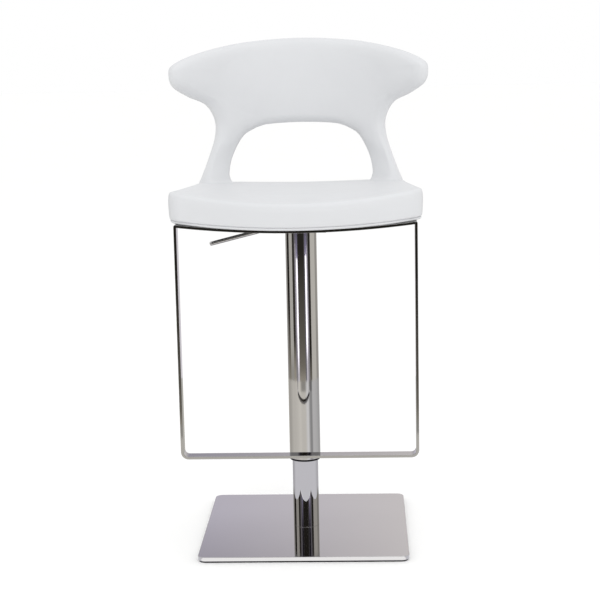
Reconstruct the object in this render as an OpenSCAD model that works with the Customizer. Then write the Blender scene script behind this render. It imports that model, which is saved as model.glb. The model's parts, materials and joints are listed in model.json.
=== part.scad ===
// Swivel counter stool: gas-lift column on a square plate, hung footrest loop, padded seat and arch back.
// Millimetres. Origin on the column axis at the floor, +Z up, and the sitter faces -Y.

/* [Base] */
// Side of the square base plate
base_side = 400; // [340:5:440]
// Thickness of the base plate
base_thick = 8; // [7:0.5:12]
// Corner radius of the base plate
base_corner_r = 15; // [8:1:30]
// Thickness of the floor pad
pad_thick = 3; // [2:0.5:5]
// How far the pad stays inside the plate's edge
pad_inset = 2; // [1:0.5:12]

/* [Column] */
// Outside diameter of the fixed column tube
column_d = 51; // [50:0.5:53]
// Wall of the fixed column tube
column_wall = 2; // [1.5:0.25:2.5]
// Height of the column's top above the floor
column_top_z = 455; // [400:1:456]
// Outside diameter of the sliding outer tube
outer_d = 61; // [60:0.5:66]
// Wall of the outer tube
outer_wall = 1.5; // [1:0.25:2]
// Height of the outer tube's lower end above the floor, at rest
outer_low_z = 151; // [150:1:170]
// Length of the end bush inside the outer tube
end_bush_h = 24; // [16:1:40]
// How far the end bush shows below the outer tube
end_bush_lip = 3.5; // [2:0.5:5]
// Height of the plug in the column's foot
foot_h = 14; // [12:1:20]
// Length of the guide bush in the column's top
column_bush_h = 28; // [20:1:40]

/* [Gas spring] */
// Outside diameter of the pressure tube
pressure_d = 28; // [27:0.5:30]
// Wall of the pressure tube
pressure_wall = 2; // [1.5:0.25:2.5]
// Diameter of the piston rod
rod_d = 10; // [9:0.5:12]
// How far the seat goes down from rest
lift_down = 125; // [60:1:125]
// How far the seat goes up from rest
lift_up = 90; // [40:1:100]
// Height of the rubber bump stop
bump_h = 17; // [10:1:25]

/* [Seat] */
// Height of the seat's underside above the floor at its middle
seat_under_z = 636; // [628:1:640]
// Radius of the underside's arc, seen from the front
under_r = 1767; // [1500:1:2400]
// Half width of the seat near its front corners
seat_half_front = 226.7; // [222:0.1:236]
// Half width of the seat where its rounded rear starts
seat_half_rear = 206.1; // [202:0.1:216]
// Distance from the column axis to the middle of the seat's front edge
seat_front = 265; // [262:1:280]
// Distance from the column axis to the seat's rear edge
seat_rear = 147.5; // [142:0.5:170]
// Radius of the seat's front corners
seat_corner_r = 27; // [22:1:36]
// Height from the underside to the top edge at the middle
seat_thick = 48.6; // [46:0.1:70]
// Rise of the top edge from the middle to the side, at the front
seat_dish_front = 23.5; // [12:0.5:28]
// Rise of the top edge from the middle to the side, at the rear
seat_dish_rear = 10; // [4:0.5:16]
// Crown of the seat's padding
seat_crown = 5; // [2:0.5:9]
// Thickness of the plywood seat board
board_thick = 12; // [10:1:15]
// Thickness of the dust cover under the board
dust_thick = 1; // [0.8:0.1:1.5]
// Width of the padded lip round the seat board
lip_w = 10; // [8:1:14]

/* [Backrest] */
// Height of the top edge's middle above the floor
back_top_z = 974.8; // [960:0.1:1000]
// Half width over the wing tips
back_half_w = 244.5; // [236:0.5:258]
// Half width over the waist above the legs
waist_half_w = 167; // [160:1:176]
// How far the legs stay inside the seat's side at its rear
leg_inset = 9.8; // [6:0.1:16]
// Width of each leg at the seat
leg_w = 51; // [46:1:60]
// Height of the opening's top above the floor
opening_top_z = 807; // [794:1:818]
// Place of the back's middle behind the column axis, at seat height
back_y = 127; // [119:1:133]
// How far the legs' outer edges stand forward of the back's middle
leg_sweep = 89; // [78:1:98]
// Backward lean, in millimetres for each millimetre of height
back_lean = 0.13; // [0.05:0.01:0.2]
// Half thickness of the padding in the wings and band
back_half_t = 15; // [14:0.5:17]
// Half thickness of the padding at the feet
foot_half_t = 22; // [18:0.5:26]
// Diameter of the steel frame tube inside
frame_d = 16; // [12:1:18]

/* [Footrest] */
// How far the footrest loop stays inside the seat's side at its front
loop_inset = 9.3; // [2:0.1:30]
// Height of the footrest bar's underside above the floor, at rest
loop_low_z = 217; // [200:1:250]
// Thickness of the flat bar
loop_t = 5; // [4:0.5:8]
// Depth of the flat bar from front to back
loop_depth = 25; // [20:1:30]
// Distance from the column axis to the loop's front face
loop_front = 252; // [246:1:254]
// Outer radius of the loop's lower corners
loop_corner_r = 14; // [9:1:24]

/* [Mechanism and lever] */
// Half length of the mechanism housing along X
housing_half_x = 50; // [46:1:52]
// Half width of the mechanism housing along Y
housing_half_y = 45; // [34:1:60]
// Height of the mechanism housing
housing_h = 31; // [29:0.5:32]
// Sheet thickness of the housing
housing_t = 3; // [2:0.5:3]
// Diameter of the lever rod
lever_d = 8.5; // [7:0.5:9]
// Slope of the lever at rest, in degrees
lever_slope = 13.7; // [12.5:0.1:14]
// Distance from the column axis to the lever's pivot
pivot_x = 38; // [36:1:40]
// Distance from the column axis to the lever's tip
lever_reach = 178; // [140:1:200]
// Height of the flat tongue that carries the lever
tongue_h = 7; // [6.5:0.5:7.5]
// Diameter of the pivot pin
pivot_d = 4; // [3:0.5:4.5]

/* [Clearances] */
// Radial clearance of a running fit
run_gap = 0.05; // [0.03:0.01:0.08]
// Radial clearance of a pressed or screwed fit
fit_gap = 0.02; // [0.01:0.01:0.04]
// Clearance between a soft piece and its neighbour
soft_gap = 0.4; // [0.3:0.1:0.6]

/* [Hidden] */
$fn = 96;

// Column and base levels
plate_top = pad_thick + base_thick;
foot_top = plate_top + foot_h;
column_r = column_d / 2;
column_bore_r = column_r - column_wall;
outer_bore_r = outer_d / 2 - outer_wall;
rod_r = rod_d / 2;
spigot_r = rod_r - 1;
clip_bore_r = 9;
clip_t = 1.2;
washer_t = 1.2;
screw_r = 3;
head_r = 5.5;
screw_circle_r = (clip_bore_r + column_bore_r) / 2;
screw_count = 4;

// Thrust bearing
race_t = 2;
race_r = 14;
ball_r = 2;
ball_circle_r = 10;
ball_count = 12;
cage_t = 2;
bearing_h = 2 * race_t + 2 * ball_r + 2 * run_gap;
rod_shoulder_z = foot_top + bearing_h;
bump_top = rod_shoulder_z + bump_h;

// Seat mechanism levels
housing_low = seat_under_z - housing_h;
lever_floor_gap = 0.35;
pivot_z = housing_low + housing_t + lever_floor_gap + tongue_h / 2 / cos(lever_slope)
    + (housing_half_x - pivot_x) * tan(lever_slope);
lever_axis_z = pivot_z + pivot_x * tan(lever_slope);

// Gas spring levels
pressure_r = pressure_d / 2;
pressure_bore_r = pressure_r - pressure_wall;
pressure_low = bump_top + lift_down + 2;
pressure_top = housing_low + 8;
end_lip = 1.5;
taper_h = 35;
taper_drop = 0.8;
guide_h = 20;
seal_h = 6;
piston_h = 12;
piston_low = pressure_low + end_lip + guide_h + seal_h + lift_up + 4;
valve_h = 32;
pin_r = 3;
pin_top = lever_axis_z - pin_r * tan(lever_slope) - tongue_h / 2 / cos(lever_slope) - 0.3;
hub_r = 20;
hub_drop = 17;

// Seat underside and board; the room is more than the underside's rise at the seat's side
under_c = seat_under_z + under_r;
rise_room = seat_half_front / 4;
flange_w = 30;
land_half_x = housing_half_x + flange_w + 6;
land_half_y = housing_half_y + 5;
housing_screw_x = housing_half_x + 17;
housing_screw_y = housing_half_y - 13;
loop_half = seat_half_front - loop_inset;
screw_edge = 51.5;
screw_pitch = 100;
footrest_screw_x = [for (s = [-1, 1], k = [0, 1]) s * (loop_half - screw_edge - k * screw_pitch)];
loop_gap = 0.3;
loop_top_r = under_r + loop_gap;
sunk_h = 2.5;
sunk_rim = 0.5;
sunk_gap = 0.2;

// Seat outline: one half from the front middle to the rear middle, then its mirror image
front_bow = 19.6;
rear_start_y = 5;
rear_power = 2.6;
front_steps = 7;
corner_steps = 6;
side_steps = 5;
rear_steps = 10;
function bow_y(x) = -seat_front + front_bow * pow(x / seat_half_front, 2);
corner_cx = seat_half_front - seat_corner_r;
bow_angle = atan(2 * front_bow * corner_cx / pow(seat_half_front, 2));
arc_start_x = corner_cx + seat_corner_r * sin(bow_angle);
corner_cy = bow_y(arc_start_x) + seat_corner_r * cos(bow_angle);
side_angle = atan((seat_half_front - seat_half_rear) / (rear_start_y - corner_cy));
arc_sweep = 90 - bow_angle + side_angle;
arc_end = [corner_cx + seat_corner_r * cos(side_angle), corner_cy + seat_corner_r * sin(side_angle)];
function front_half() = concat(
    [for (i = [0 : front_steps - 1]) let (x = arc_start_x * i / front_steps) [x, bow_y(x)]],
    [for (i = [0 : corner_steps]) let (a = bow_angle - 90 + arc_sweep * i / corner_steps)
        [corner_cx + seat_corner_r * cos(a), corner_cy + seat_corner_r * sin(a)]],
    [for (i = [1 : side_steps - 1]) let (s = i / side_steps)
        arc_end * (1 - s) + [seat_half_rear, rear_start_y] * s],
    [for (i = [0 : rear_steps]) let (a = 90 * i / rear_steps)
        [seat_half_rear * pow(cos(a), 2 / rear_power),
         rear_start_y + (seat_rear - rear_start_y) * pow(sin(a), 2 / rear_power)]]);
half_pts = front_half();
half_n = len(half_pts);
seat_outline = concat(half_pts, [for (i = [half_n - 2 : -1 : 1]) [-half_pts[i][0], half_pts[i][1]]]);
seat_n = len(seat_outline);
function unit(v) = v / norm(v);
function edge_normal(i) = let (d = seat_outline[(i + 1) % seat_n] - seat_outline[(i + seat_n - 1) % seat_n])
    unit([d[1], -d[0]]);
function inset_outline(d) = [for (i = [0 : seat_n - 1]) seat_outline[i] - d * edge_normal(i)];

// Heights of the seat's surfaces over a point of its plan
function under_z(x, up) = under_c - sqrt(pow(under_r - up, 2) - x * x);
function along(y) = (y + seat_front) / (seat_front + seat_rear);
function dish(y) = seat_dish_front + (seat_dish_rear - seat_dish_front) * along(y);
function top_edge_z(x, y) = seat_under_z + seat_thick + 2 * along(y) + dish(y) * pow(x / seat_half_front, 2);
function crown_z(x, y) = let (s = 1 - pow(x / seat_half_front, 2), t = 1 - pow(2 * along(y) - 1, 2))
    seat_crown * max(0, s) * max(0, t);
function seat_top_z(x, y) = top_edge_z(x, y) + crown_z(x, y);

// Backrest: half outlines from the foot to the top middle, as [x, z], joined point by point.
// Shares run from the legs to the waist, from the waist to the wing tip, and from the foot up.
foot_z = seat_under_z + seat_thick + 8.5;
leg_half_w = seat_half_rear - leg_inset;
opening_half_w = leg_half_w - leg_w;
sweep_power = 2.3;
function back_mid_y(x, z) =
    back_y + back_lean * (z - foot_z) - leg_sweep * pow(abs(x) / leg_half_w, sweep_power);
function leg_x(s) = waist_half_w + (leg_half_w - waist_half_w) * s;
function wing_x(s) = waist_half_w + (back_half_w - waist_half_w) * s;
function back_z(s) = foot_z + (back_top_z - foot_z) * s;
outer_pts = [
    [leg_x(1), back_z(0)], [leg_x(0.77), back_z(0.073)], [leg_x(0.4), back_z(0.188)],
    [leg_x(0.03), back_z(0.32)], [waist_half_w, back_z(0.435)], [wing_x(0.2), back_z(0.544)],
    [wing_x(0.6), back_z(0.613)], [wing_x(0.91), back_z(0.68)], [back_half_w, back_z(0.76)],
    [wing_x(0.92), back_z(0.836)],
    [back_half_w * 0.81, back_z(0.906)], [back_half_w * 0.534, back_z(0.965)],
    [back_half_w * 0.265, back_z(0.991)], [0, back_top_z]];
opening_shape = [
    [0.98, 0], [1, 0.155], [0.946, 0.45], [0.81, 0.767], [0.662, 0.897], [0.527, 0.961], [0.426, 0.98],
    [0.351, 0.987], [0.297, 0.991], [0.243, 0.994], [0.182, 0.997], [0.122, 0.998], [0.061, 1], [0, 1]];
inner_pts = [for (q = opening_shape) [opening_half_w * q[0], foot_z + (opening_top_z - foot_z) * q[1]]];
last_pt = len(outer_pts) - 1;
steps_per_pt = 2;

// Smooth curve through a half outline; past the top middle it mirrors, and before the foot it runs straight
function curve_pt(list, k) = k > last_pt ? let (q = curve_pt(list, 2 * last_pt - k)) [-q[0], q[1]]
    : k < 0 ? 2 * list[0] - list[-k] : list[k];
function curve(list, t) = let (
    k = floor(t), s = t - k,
    a = curve_pt(list, k - 1), b = curve_pt(list, k), c = curve_pt(list, k + 1), d = curve_pt(list, k + 2))
    0.5 * (2 * b + (c - a) * s + (2 * a - 5 * b + 4 * c - d) * s * s + (3 * b - a - 3 * c + d) * s * s * s);
function curve_side(list, t) = let (d = curve(list, t + 0.2) - curve(list, t - 0.2)) unit([d[1], -d[0]]);

// Point on the backrest: p is its place in front view and h its distance from the middle surface
function back_point(p, h) = let (
    e = 0.5,
    sx = (back_mid_y(p[0] + e, p[1]) - back_mid_y(p[0] - e, p[1])) / (2 * e),
    n = unit([-sx, 1, -back_lean]))
    [p[0], back_mid_y(p[0], p[1]), p[1]] + h * n;
flare_h = 47;
function half_t_at(z) = back_half_t
    + (foot_half_t - back_half_t) * pow(max(0, min(1, (foot_z + flare_h - z) / flare_h)), 2);
edge_round = 15;
edge_diag = cos(45);
back_crown = 1.5;
mid_fracs = [0.25, 0.5, 0.75];
function section_side(t, side) = let (
    o = curve(outer_pts, t), i = curve(inner_pts, t),
    no = curve_side(outer_pts, t), ni = curve_side(inner_pts, t),
    oi = o - edge_round * no, ii = i + edge_round * ni,
    ho = half_t_at(o[1]), hi = half_t_at(i[1]))
    concat(
        [back_point(o - edge_round * (1 - edge_diag) * no, side * ho * edge_diag),
            back_point(oi, side * ho)],
        [for (f = mid_fracs) back_point(oi * (1 - f) + ii * f, side * (ho * (1 - f) + hi * f + back_crown))],
        [back_point(ii, side * hi),
            back_point(i + edge_round * (1 - edge_diag) * ni, side * hi * edge_diag)]);
function reversed(list) = [for (i = [len(list) - 1 : -1 : 0]) list[i]];
function section(t) = concat(
    [back_point(curve(outer_pts, t), 0)], section_side(t, 1),
    [back_point(curve(inner_pts, t), 0)], reversed(section_side(t, -1)));
section_n = 2 * (len(mid_fracs) + 4) + 2;

// Frame tube inside the backrest: it follows the opening's edge at a growing distance, and its ends
// run down into the sockets
socket_x = leg_half_w - leg_w / 2;
socket_y = back_mid_y(socket_x, foot_z);
socket_h = 18;
socket_flange_h = 4;
socket_flange_r = 18;
board_top_r = under_r - dust_thick - board_thick;
socket_lift = pow(socket_flange_r, 2) / (2 * board_top_r) + 0.03;
frame_r = frame_d / 2;
frame_sides = 8;
frame_low_off = 22;
frame_top_off = 58;
frame_steps = [1, 1.5, 2, 2.5, 3, 3.5, 4, 5, 7, 10, 13];
function frame_off(t) = frame_low_off + (frame_top_off - frame_low_off) * pow(t / last_pt, 1.5);
function frame_point(t) = back_point(curve(inner_pts, t) + frame_off(t) * curve_side(inner_pts, t), 0);

// Turned pieces
module ring(r_out, r_in, h) {
    difference() {
        cylinder(r = r_out, h = h);
        translate([0, 0, -1]) cylinder(r = r_in, h = h + 2);
    }
}
module rounded_square(side, r) {
    square([side, side - 2 * r], center = true);
    square([side - 2 * r, side], center = true);
    for (x = [-1, 1], y = [-1, 1]) translate([x, y] * (side / 2 - r)) circle(r);
}
module around_screws(count, circle_r) {
    for (i = [0 : count - 1]) rotate(45 + 360 * i / count) translate([circle_r, 0, 0]) children();
}
// Places its children on the seat's underside arc at x, with their +Z square to it
module on_underside(x, up) {
    translate([0, 0, under_c]) rotate([0, -asin(x / under_r), 0]) translate([0, 0, up - under_r]) children();
}

// Base
module floor_pad() {
    color("dimgray") linear_extrude(pad_thick)
        rounded_square(base_side - 2 * pad_inset, base_corner_r - pad_inset / 2);
}
module base_plate() {
    color("gainsboro") difference() {
        translate([0, 0, pad_thick]) linear_extrude(base_thick) rounded_square(base_side, base_corner_r);
        translate([0, 0, pad_thick - 1]) cylinder(r = clip_bore_r, h = base_thick + 2);
        around_screws(screw_count, screw_circle_r) {
            translate([0, 0, pad_thick - 1]) cylinder(r = screw_r + fit_gap, h = base_thick + 2);
            translate([0, 0, pad_thick - 1]) cylinder(r = head_r + 0.3, h = base_thick / 2 + 1);
        }
    }
}
module column_tube() {
    color("gainsboro") translate([0, 0, plate_top]) ring(column_r, column_bore_r, column_top_z - plate_top);
}
module column_foot() {
    color("darkgray") translate([0, 0, plate_top]) difference() {
        ring(column_bore_r - fit_gap, spigot_r + run_gap, foot_h);
        around_screws(screw_count, screw_circle_r) translate([0, 0, -1])
            cylinder(r = screw_r + fit_gap, h = foot_h);
    }
}
module column_screws() {
    screw_len = base_thick + foot_h - 2;
    color("dimgray") translate([0, 0, pad_thick]) around_screws(screw_count, screw_circle_r) {
        cylinder(r = screw_r, h = screw_len);
        cylinder(r = head_r, h = base_thick / 2 - 0.2);
    }
}
module column_bush() {
    flange_h = 2;
    color("whitesmoke") difference() {
        union() {
            translate([0, 0, column_top_z - column_bush_h])
                cylinder(r = column_bore_r - fit_gap, h = column_bush_h);
            translate([0, 0, column_top_z]) cylinder(r = outer_bore_r - run_gap, h = flange_h);
        }
        cylinder(r = pressure_r + run_gap, h = column_top_z + flange_h + 1);
    }
}

// Thrust bearing
module lower_race() {
    color("silver") translate([0, 0, foot_top]) ring(race_r, rod_r + 0.2, race_t);
}
module bearing_balls() {
    ball_z = foot_top + race_t + run_gap + ball_r;
    color("silver") for (i = [0 : ball_count - 1])
        rotate(360 * i / ball_count) translate([ball_circle_r, 0, ball_z]) sphere(r = ball_r, $fn = 32);
}
module ball_cage() {
    ball_z = foot_top + race_t + run_gap + ball_r;
    color("khaki") difference() {
        translate([0, 0, ball_z - cage_t / 2]) ring(race_r - 0.5, rod_r + 1.5, cage_t);
        for (i = [0 : ball_count - 1])
            rotate(360 * i / ball_count) translate([ball_circle_r, 0, ball_z - cage_t])
                cylinder(r = ball_r + run_gap, h = 2 * cage_t);
    }
}
module upper_race() {
    color("silver") translate([0, 0, rod_shoulder_z - race_t]) ring(race_r, spigot_r + fit_gap, race_t);
}

// Rod and what turns with it
washer_top = plate_top - run_gap;
clip_top = washer_top - washer_t - 0.1;
groove_r = spigot_r - 0.8;
rod_low = clip_top - clip_t - 3;
rod_chamfer = 0.5;
module piston_rod() {
    color("silver") rotate_extrude() polygon([
        [0, rod_low], [spigot_r - rod_chamfer, rod_low], [spigot_r, rod_low + rod_chamfer],
        [spigot_r, clip_top - clip_t - 0.1], [groove_r, clip_top - clip_t - 0.1], [groove_r, clip_top],
        [spigot_r, clip_top], [spigot_r, rod_shoulder_z], [rod_r, rod_shoulder_z],
        [rod_r, piston_low + piston_h], [0, piston_low + piston_h]]);
}
module rod_washer() {
    color("silver") translate([0, 0, washer_top - washer_t])
        ring(clip_bore_r - 1.5, spigot_r + fit_gap, washer_t);
}
module rod_clip() {
    clip_r = clip_bore_r - 2.5;
    color("dimgray") translate([0, 0, clip_top - clip_t]) difference() {
        ring(clip_r, groove_r + fit_gap, clip_t - 0.05);
        translate([groove_r - 0.6, -groove_r * 0.7, -1]) cube([clip_r + 2, groove_r * 1.4, clip_t + 2]);
    }
}
module bump_stop() {
    color("dimgray") translate([0, 0, rod_shoulder_z]) ring(rod_r + 6, rod_r + fit_gap, bump_h);
}
ring_h = 2.4;
ring_depth = 1.8;
module piston() {
    color("silver") translate([0, 0, piston_low]) difference() {
        ring(pressure_bore_r - run_gap, rod_r + fit_gap, piston_h);
        translate([0, 0, (piston_h - ring_h) / 2])
            ring(pressure_bore_r + 1, pressure_bore_r - ring_depth, ring_h);
    }
}
module piston_ring() {
    color("dimgray") translate([0, 0, piston_low + (piston_h - ring_h) / 2 + fit_gap])
        ring(pressure_bore_r - run_gap / 2, pressure_bore_r - ring_depth + fit_gap, ring_h - 2 * fit_gap);
}

// Gas spring, the part that goes up with the seat
module pressure_tube() {
    lip_r = pressure_bore_r - 3;
    color("dimgray") rotate_extrude() polygon([
        [lip_r, pressure_low], [pressure_r, pressure_low], [pressure_r, pressure_top - taper_h],
        [pressure_r - taper_drop, pressure_top], [lip_r, pressure_top], [lip_r, pressure_top - end_lip],
        [pressure_bore_r, pressure_top - end_lip], [pressure_bore_r, pressure_low + end_lip],
        [lip_r, pressure_low + end_lip]]);
}
module rod_guide() {
    color("khaki") translate([0, 0, pressure_low + end_lip])
        ring(pressure_bore_r - fit_gap, rod_r + run_gap, guide_h);
}
module rod_seal() {
    color("dimgray") translate([0, 0, pressure_low + end_lip + guide_h])
        ring(pressure_bore_r - fit_gap, rod_r + run_gap, seal_h);
}
valve_low = pressure_top - end_lip - valve_h;
module valve_body() {
    color("silver") translate([0, 0, valve_low]) ring(pressure_bore_r - fit_gap, pin_r + run_gap, valve_h);
}
module valve_pin() {
    poppet_h = 3;
    color("silver") {
        translate([0, 0, valve_low - 0.3 - poppet_h]) cylinder(r = pin_r + 2, h = poppet_h);
        translate([0, 0, valve_low - 0.3]) cylinder(r = pin_r, h = pin_top - valve_low + 0.3);
    }
}

// Outer tube and mechanism
module outer_tube() {
    color("gainsboro") translate([0, 0, outer_low_z])
        ring(outer_d / 2, outer_bore_r, housing_low - outer_low_z);
}
module end_bush() {
    color("dimgray") difference() {
        union() {
            translate([0, 0, outer_low_z - end_bush_lip]) cylinder(r = outer_d / 2 - 0.5, h = end_bush_lip);
            translate([0, 0, outer_low_z]) cylinder(r = outer_bore_r - fit_gap, h = end_bush_h);
        }
        translate([0, 0, outer_low_z - end_bush_lip - 1])
            cylinder(r = column_r + run_gap, h = end_bush_h + end_bush_lip + 2);
    }
}
module taper_hub() {
    low = housing_low - hub_drop;
    top = housing_low + housing_t;
    function taper_r(z) = pressure_r - taper_drop * (z - pressure_top + taper_h) / taper_h + fit_gap;
    color("darkgray") rotate_extrude() polygon([
        [taper_r(low), low], [hub_r, low], [hub_r, top], [taper_r(top), top]]);
}
module mechanism_housing() {
    slot_half = lever_d / 2 + 3;
    color("dimgray") difference() {
        union() {
            translate([-housing_half_x, -housing_half_y, housing_low])
                cube([2 * housing_half_x, 2 * housing_half_y, housing_h]);
            translate([-housing_half_x - flange_w, -housing_half_y, seat_under_z - housing_t])
                cube([2 * (housing_half_x + flange_w), 2 * housing_half_y, housing_t]);
        }
        translate([housing_t - housing_half_x, housing_t - housing_half_y, housing_low + housing_t])
            cube([2 * (housing_half_x - housing_t), 2 * (housing_half_y - housing_t), housing_h]);
        translate([-housing_half_x - 1, -slot_half, housing_low + housing_t])
            cube([housing_t + 2, 2 * slot_half, housing_h - 2 * housing_t]);
        translate([0, 0, housing_low - 1]) cylinder(r = hub_r + fit_gap, h = housing_t + 2);
        at_housing_screws() translate([0, 0, -housing_t - 1]) cylinder(r = screw_r + 0.3, h = housing_t + 2);
    }
}
module at_housing_screws() {
    for (x = [-housing_screw_x, housing_screw_x], y = [-housing_screw_y, housing_screw_y])
        translate([x, y, seat_under_z]) children();
}
module housing_screws() {
    color("silver") at_housing_screws() {
        translate([0, 0, -housing_t]) cylinder(r = screw_r, h = housing_t + board_thick - 2);
        translate([0, 0, -housing_t - 3.5]) cylinder(r = head_r, h = 3.5);
    }
}
tongue_half = 2.9;
ear_gap = 0.4;
ear_t = 3;
ear_half_x = 8;
module lever_bracket() {
    low = housing_low + housing_t;
    color("darkgray") difference() {
        for (s = [-1, 1])
            translate([-pivot_x - ear_half_x, s * (tongue_half + ear_gap + ear_t / 2) - ear_t / 2, low])
                cube([2 * ear_half_x, ear_t, pivot_z - low + 6]);
        translate([-pivot_x, 0, pivot_z]) rotate([90, 0, 0])
            cylinder(d = pivot_d + 2 * fit_gap, h = housing_half_y, center = true);
    }
}
module pivot_pin() {
    pin_half = tongue_half + ear_gap + ear_t + 1;
    color("silver") translate([-pivot_x, 0, pivot_z]) rotate([90, 0, 0]) {
        cylinder(d = pivot_d, h = 2 * pin_half, center = true);
        translate([0, 0, pin_half - 0.8]) cylinder(d = pivot_d + 3, h = 1.6);
    }
}
joint_x = housing_half_x + 5;
module lever_tongue() {
    inner_x = 4;
    len_out = (joint_x - pivot_x) / cos(lever_slope);
    len_in = (pivot_x + inner_x) / cos(lever_slope);
    color("darkgray") translate([-pivot_x, 0, pivot_z]) rotate([0, -lever_slope, 0]) difference() {
        translate([-len_out, -tongue_half, -tongue_h / 2])
            cube([len_out + len_in, 2 * tongue_half, tongue_h]);
        rotate([90, 0, 0]) cylinder(d = pivot_d + 2 * run_gap, h = 3 * tongue_h, center = true);
    }
}
module lever_rod() {
    from_pivot = (joint_x - pivot_x) / cos(lever_slope);
    rod_len = (lever_reach - joint_x) / cos(lever_slope);
    tip_round = 2;
    color("gainsboro") translate([-pivot_x, 0, pivot_z]) rotate([0, -90 - lever_slope, 0])
        translate([0, 0, from_pivot]) rotate_extrude() polygon(concat(
            [[0, 0], [lever_d / 2, 0]],
            [for (a = [0 : 22.5 : 90])
                [lever_d / 2 - tip_round + tip_round * cos(a), rod_len - tip_round + tip_round * sin(a)]],
            [[0, rod_len]]));
}

// Footrest
module loop_outline() {
    corner_x = loop_half - loop_corner_r;
    corner_z = loop_low_z + loop_corner_r;
    side_top = under_c - sqrt(pow(loop_top_r + loop_t / 2, 2) - loop_half * loop_half);
    intersection() {
        union() {
            difference() {
                translate([0, under_c]) circle(r = loop_top_r + loop_t, $fn = 1440);
                translate([0, under_c]) circle(r = loop_top_r, $fn = 1440);
            }
            for (s = [-1, 1]) translate([s * (loop_half - loop_t / 2) - loop_t / 2, corner_z])
                square([loop_t, side_top - corner_z]);
            translate([-corner_x, loop_low_z]) square([2 * corner_x, loop_t]);
            for (s = [-1, 1]) translate([s * corner_x, corner_z]) intersection() {
                difference() {
                    circle(r = loop_corner_r);
                    circle(r = loop_corner_r - loop_t);
                }
                translate([s > 0 ? 0 : -loop_corner_r, -loop_corner_r]) square(loop_corner_r);
            }
        }
        translate([-loop_half, loop_low_z]) square([2 * loop_half, seat_under_z + rise_room - loop_low_z]);
    }
}
module footrest_loop() {
    color("gainsboro") difference() {
        translate([0, loop_depth - loop_front, 0]) rotate([90, 0, 0])
            linear_extrude(loop_depth) loop_outline();
        at_footrest_screws() translate([0, 0, -loop_gap - loop_t]) {
            translate([0, 0, -1]) cylinder(r = screw_r + sunk_gap, h = loop_t + 2);
            translate([0, 0, -1]) cylinder(r = head_r + sunk_gap, h = 1 + sunk_rim);
            translate([0, 0, sunk_rim])
                cylinder(r1 = head_r + sunk_gap, r2 = screw_r + sunk_gap, h = sunk_h);
        }
    }
}
module at_footrest_screws() {
    for (x = footrest_screw_x) translate([0, loop_depth / 2 - loop_front, 0]) on_underside(x, 0) children();
}
module footrest_screws() {
    color("silver") at_footrest_screws() translate([0, 0, -loop_gap - loop_t]) {
        translate([0, 0, 0.1]) cylinder(r = head_r, h = sunk_rim);
        translate([0, 0, 0.1 + sunk_rim]) cylinder(r1 = head_r, r2 = screw_r, h = sunk_h);
        translate([0, 0, 0.1]) cylinder(r = screw_r, h = loop_gap + loop_t + board_thick - 1.1);
    }
}

// Seat
module arc_slab(up_low, up_top) {
    span = 2 * (seat_front + seat_rear);
    translate([0, 0, under_c]) rotate([90, 0, 0]) difference() {
        cylinder(r = under_r - up_low, h = span, center = true, $fn = 1440);
        cylinder(r = under_r - up_top, h = span + 2, center = true, $fn = 1440);
    }
}
module seat_block(inset, low, high) {
    translate([0, 0, low]) linear_extrude(high - low) polygon(inset_outline(inset));
}
module at_sockets() {
    for (s = [-1, 1]) translate([0, socket_y, 0])
        on_underside(s * socket_x, dust_thick + board_thick + socket_lift) children();
}
socket_screw_off = 12.5;
module at_socket_screws() {
    at_sockets() for (s = [-1, 1]) translate([0, s * socket_screw_off, 0]) children();
}
module seat_board() {
    color("burlywood") difference() {
        union() {
            intersection() {
                seat_block(lip_w + soft_gap, seat_under_z - 1, seat_under_z + rise_room);
                arc_slab(dust_thick, dust_thick + board_thick);
            }
            translate([-land_half_x, -land_half_y, seat_under_z])
                cube([2 * land_half_x, 2 * land_half_y, board_thick / 2]);
        }
        at_housing_screws() translate([0, 0, -1]) cylinder(r = screw_r + fit_gap, h = board_thick);
        at_footrest_screws() cylinder(r = screw_r + fit_gap, h = board_thick);
        at_socket_screws() {
            translate([0, 0, -board_thick - 1]) cylinder(r = screw_r + fit_gap, h = board_thick + 2);
            translate([0, 0, -board_thick - 1]) cylinder(r = head_r + 0.3, h = 4.2);
        }
    }
}
module dust_cover() {
    edge_gap = 0.5;
    color("dimgray") difference() {
        intersection() {
            seat_block(lip_w + soft_gap, seat_under_z - 1, seat_under_z + rise_room);
            arc_slab(0, dust_thick);
        }
        translate([-land_half_x - edge_gap, -land_half_y - edge_gap, seat_under_z - 10])
            cube([2 * (land_half_x + edge_gap), 2 * (land_half_y + edge_gap), rise_room]);
        at_footrest_screws() translate([0, 0, -1]) cylinder(r = screw_r + 0.2, h = 4);
    }
}
module frame_sockets() {
    socket_gap = 0.3;
    color("darkgray") at_sockets() difference() {
        union() {
            cylinder(r = socket_flange_r, h = socket_flange_h);
            cylinder(r = frame_r + 2.5, h = socket_h);
        }
        translate([0, 0, socket_flange_h]) cylinder(r = frame_r + socket_gap, h = socket_h);
        for (s = [-1, 1]) translate([0, s * socket_screw_off, -1])
            cylinder(r = screw_r + fit_gap, h = socket_flange_h + 2);
    }
}
module socket_screws() {
    head_h = 3;
    color("silver") at_socket_screws() {
        translate([0, 0, -board_thick]) cylinder(r = screw_r, h = board_thick + socket_flange_h);
        translate([0, 0, -board_thick]) cylinder(r = head_r, h = head_h);
    }
}

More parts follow.
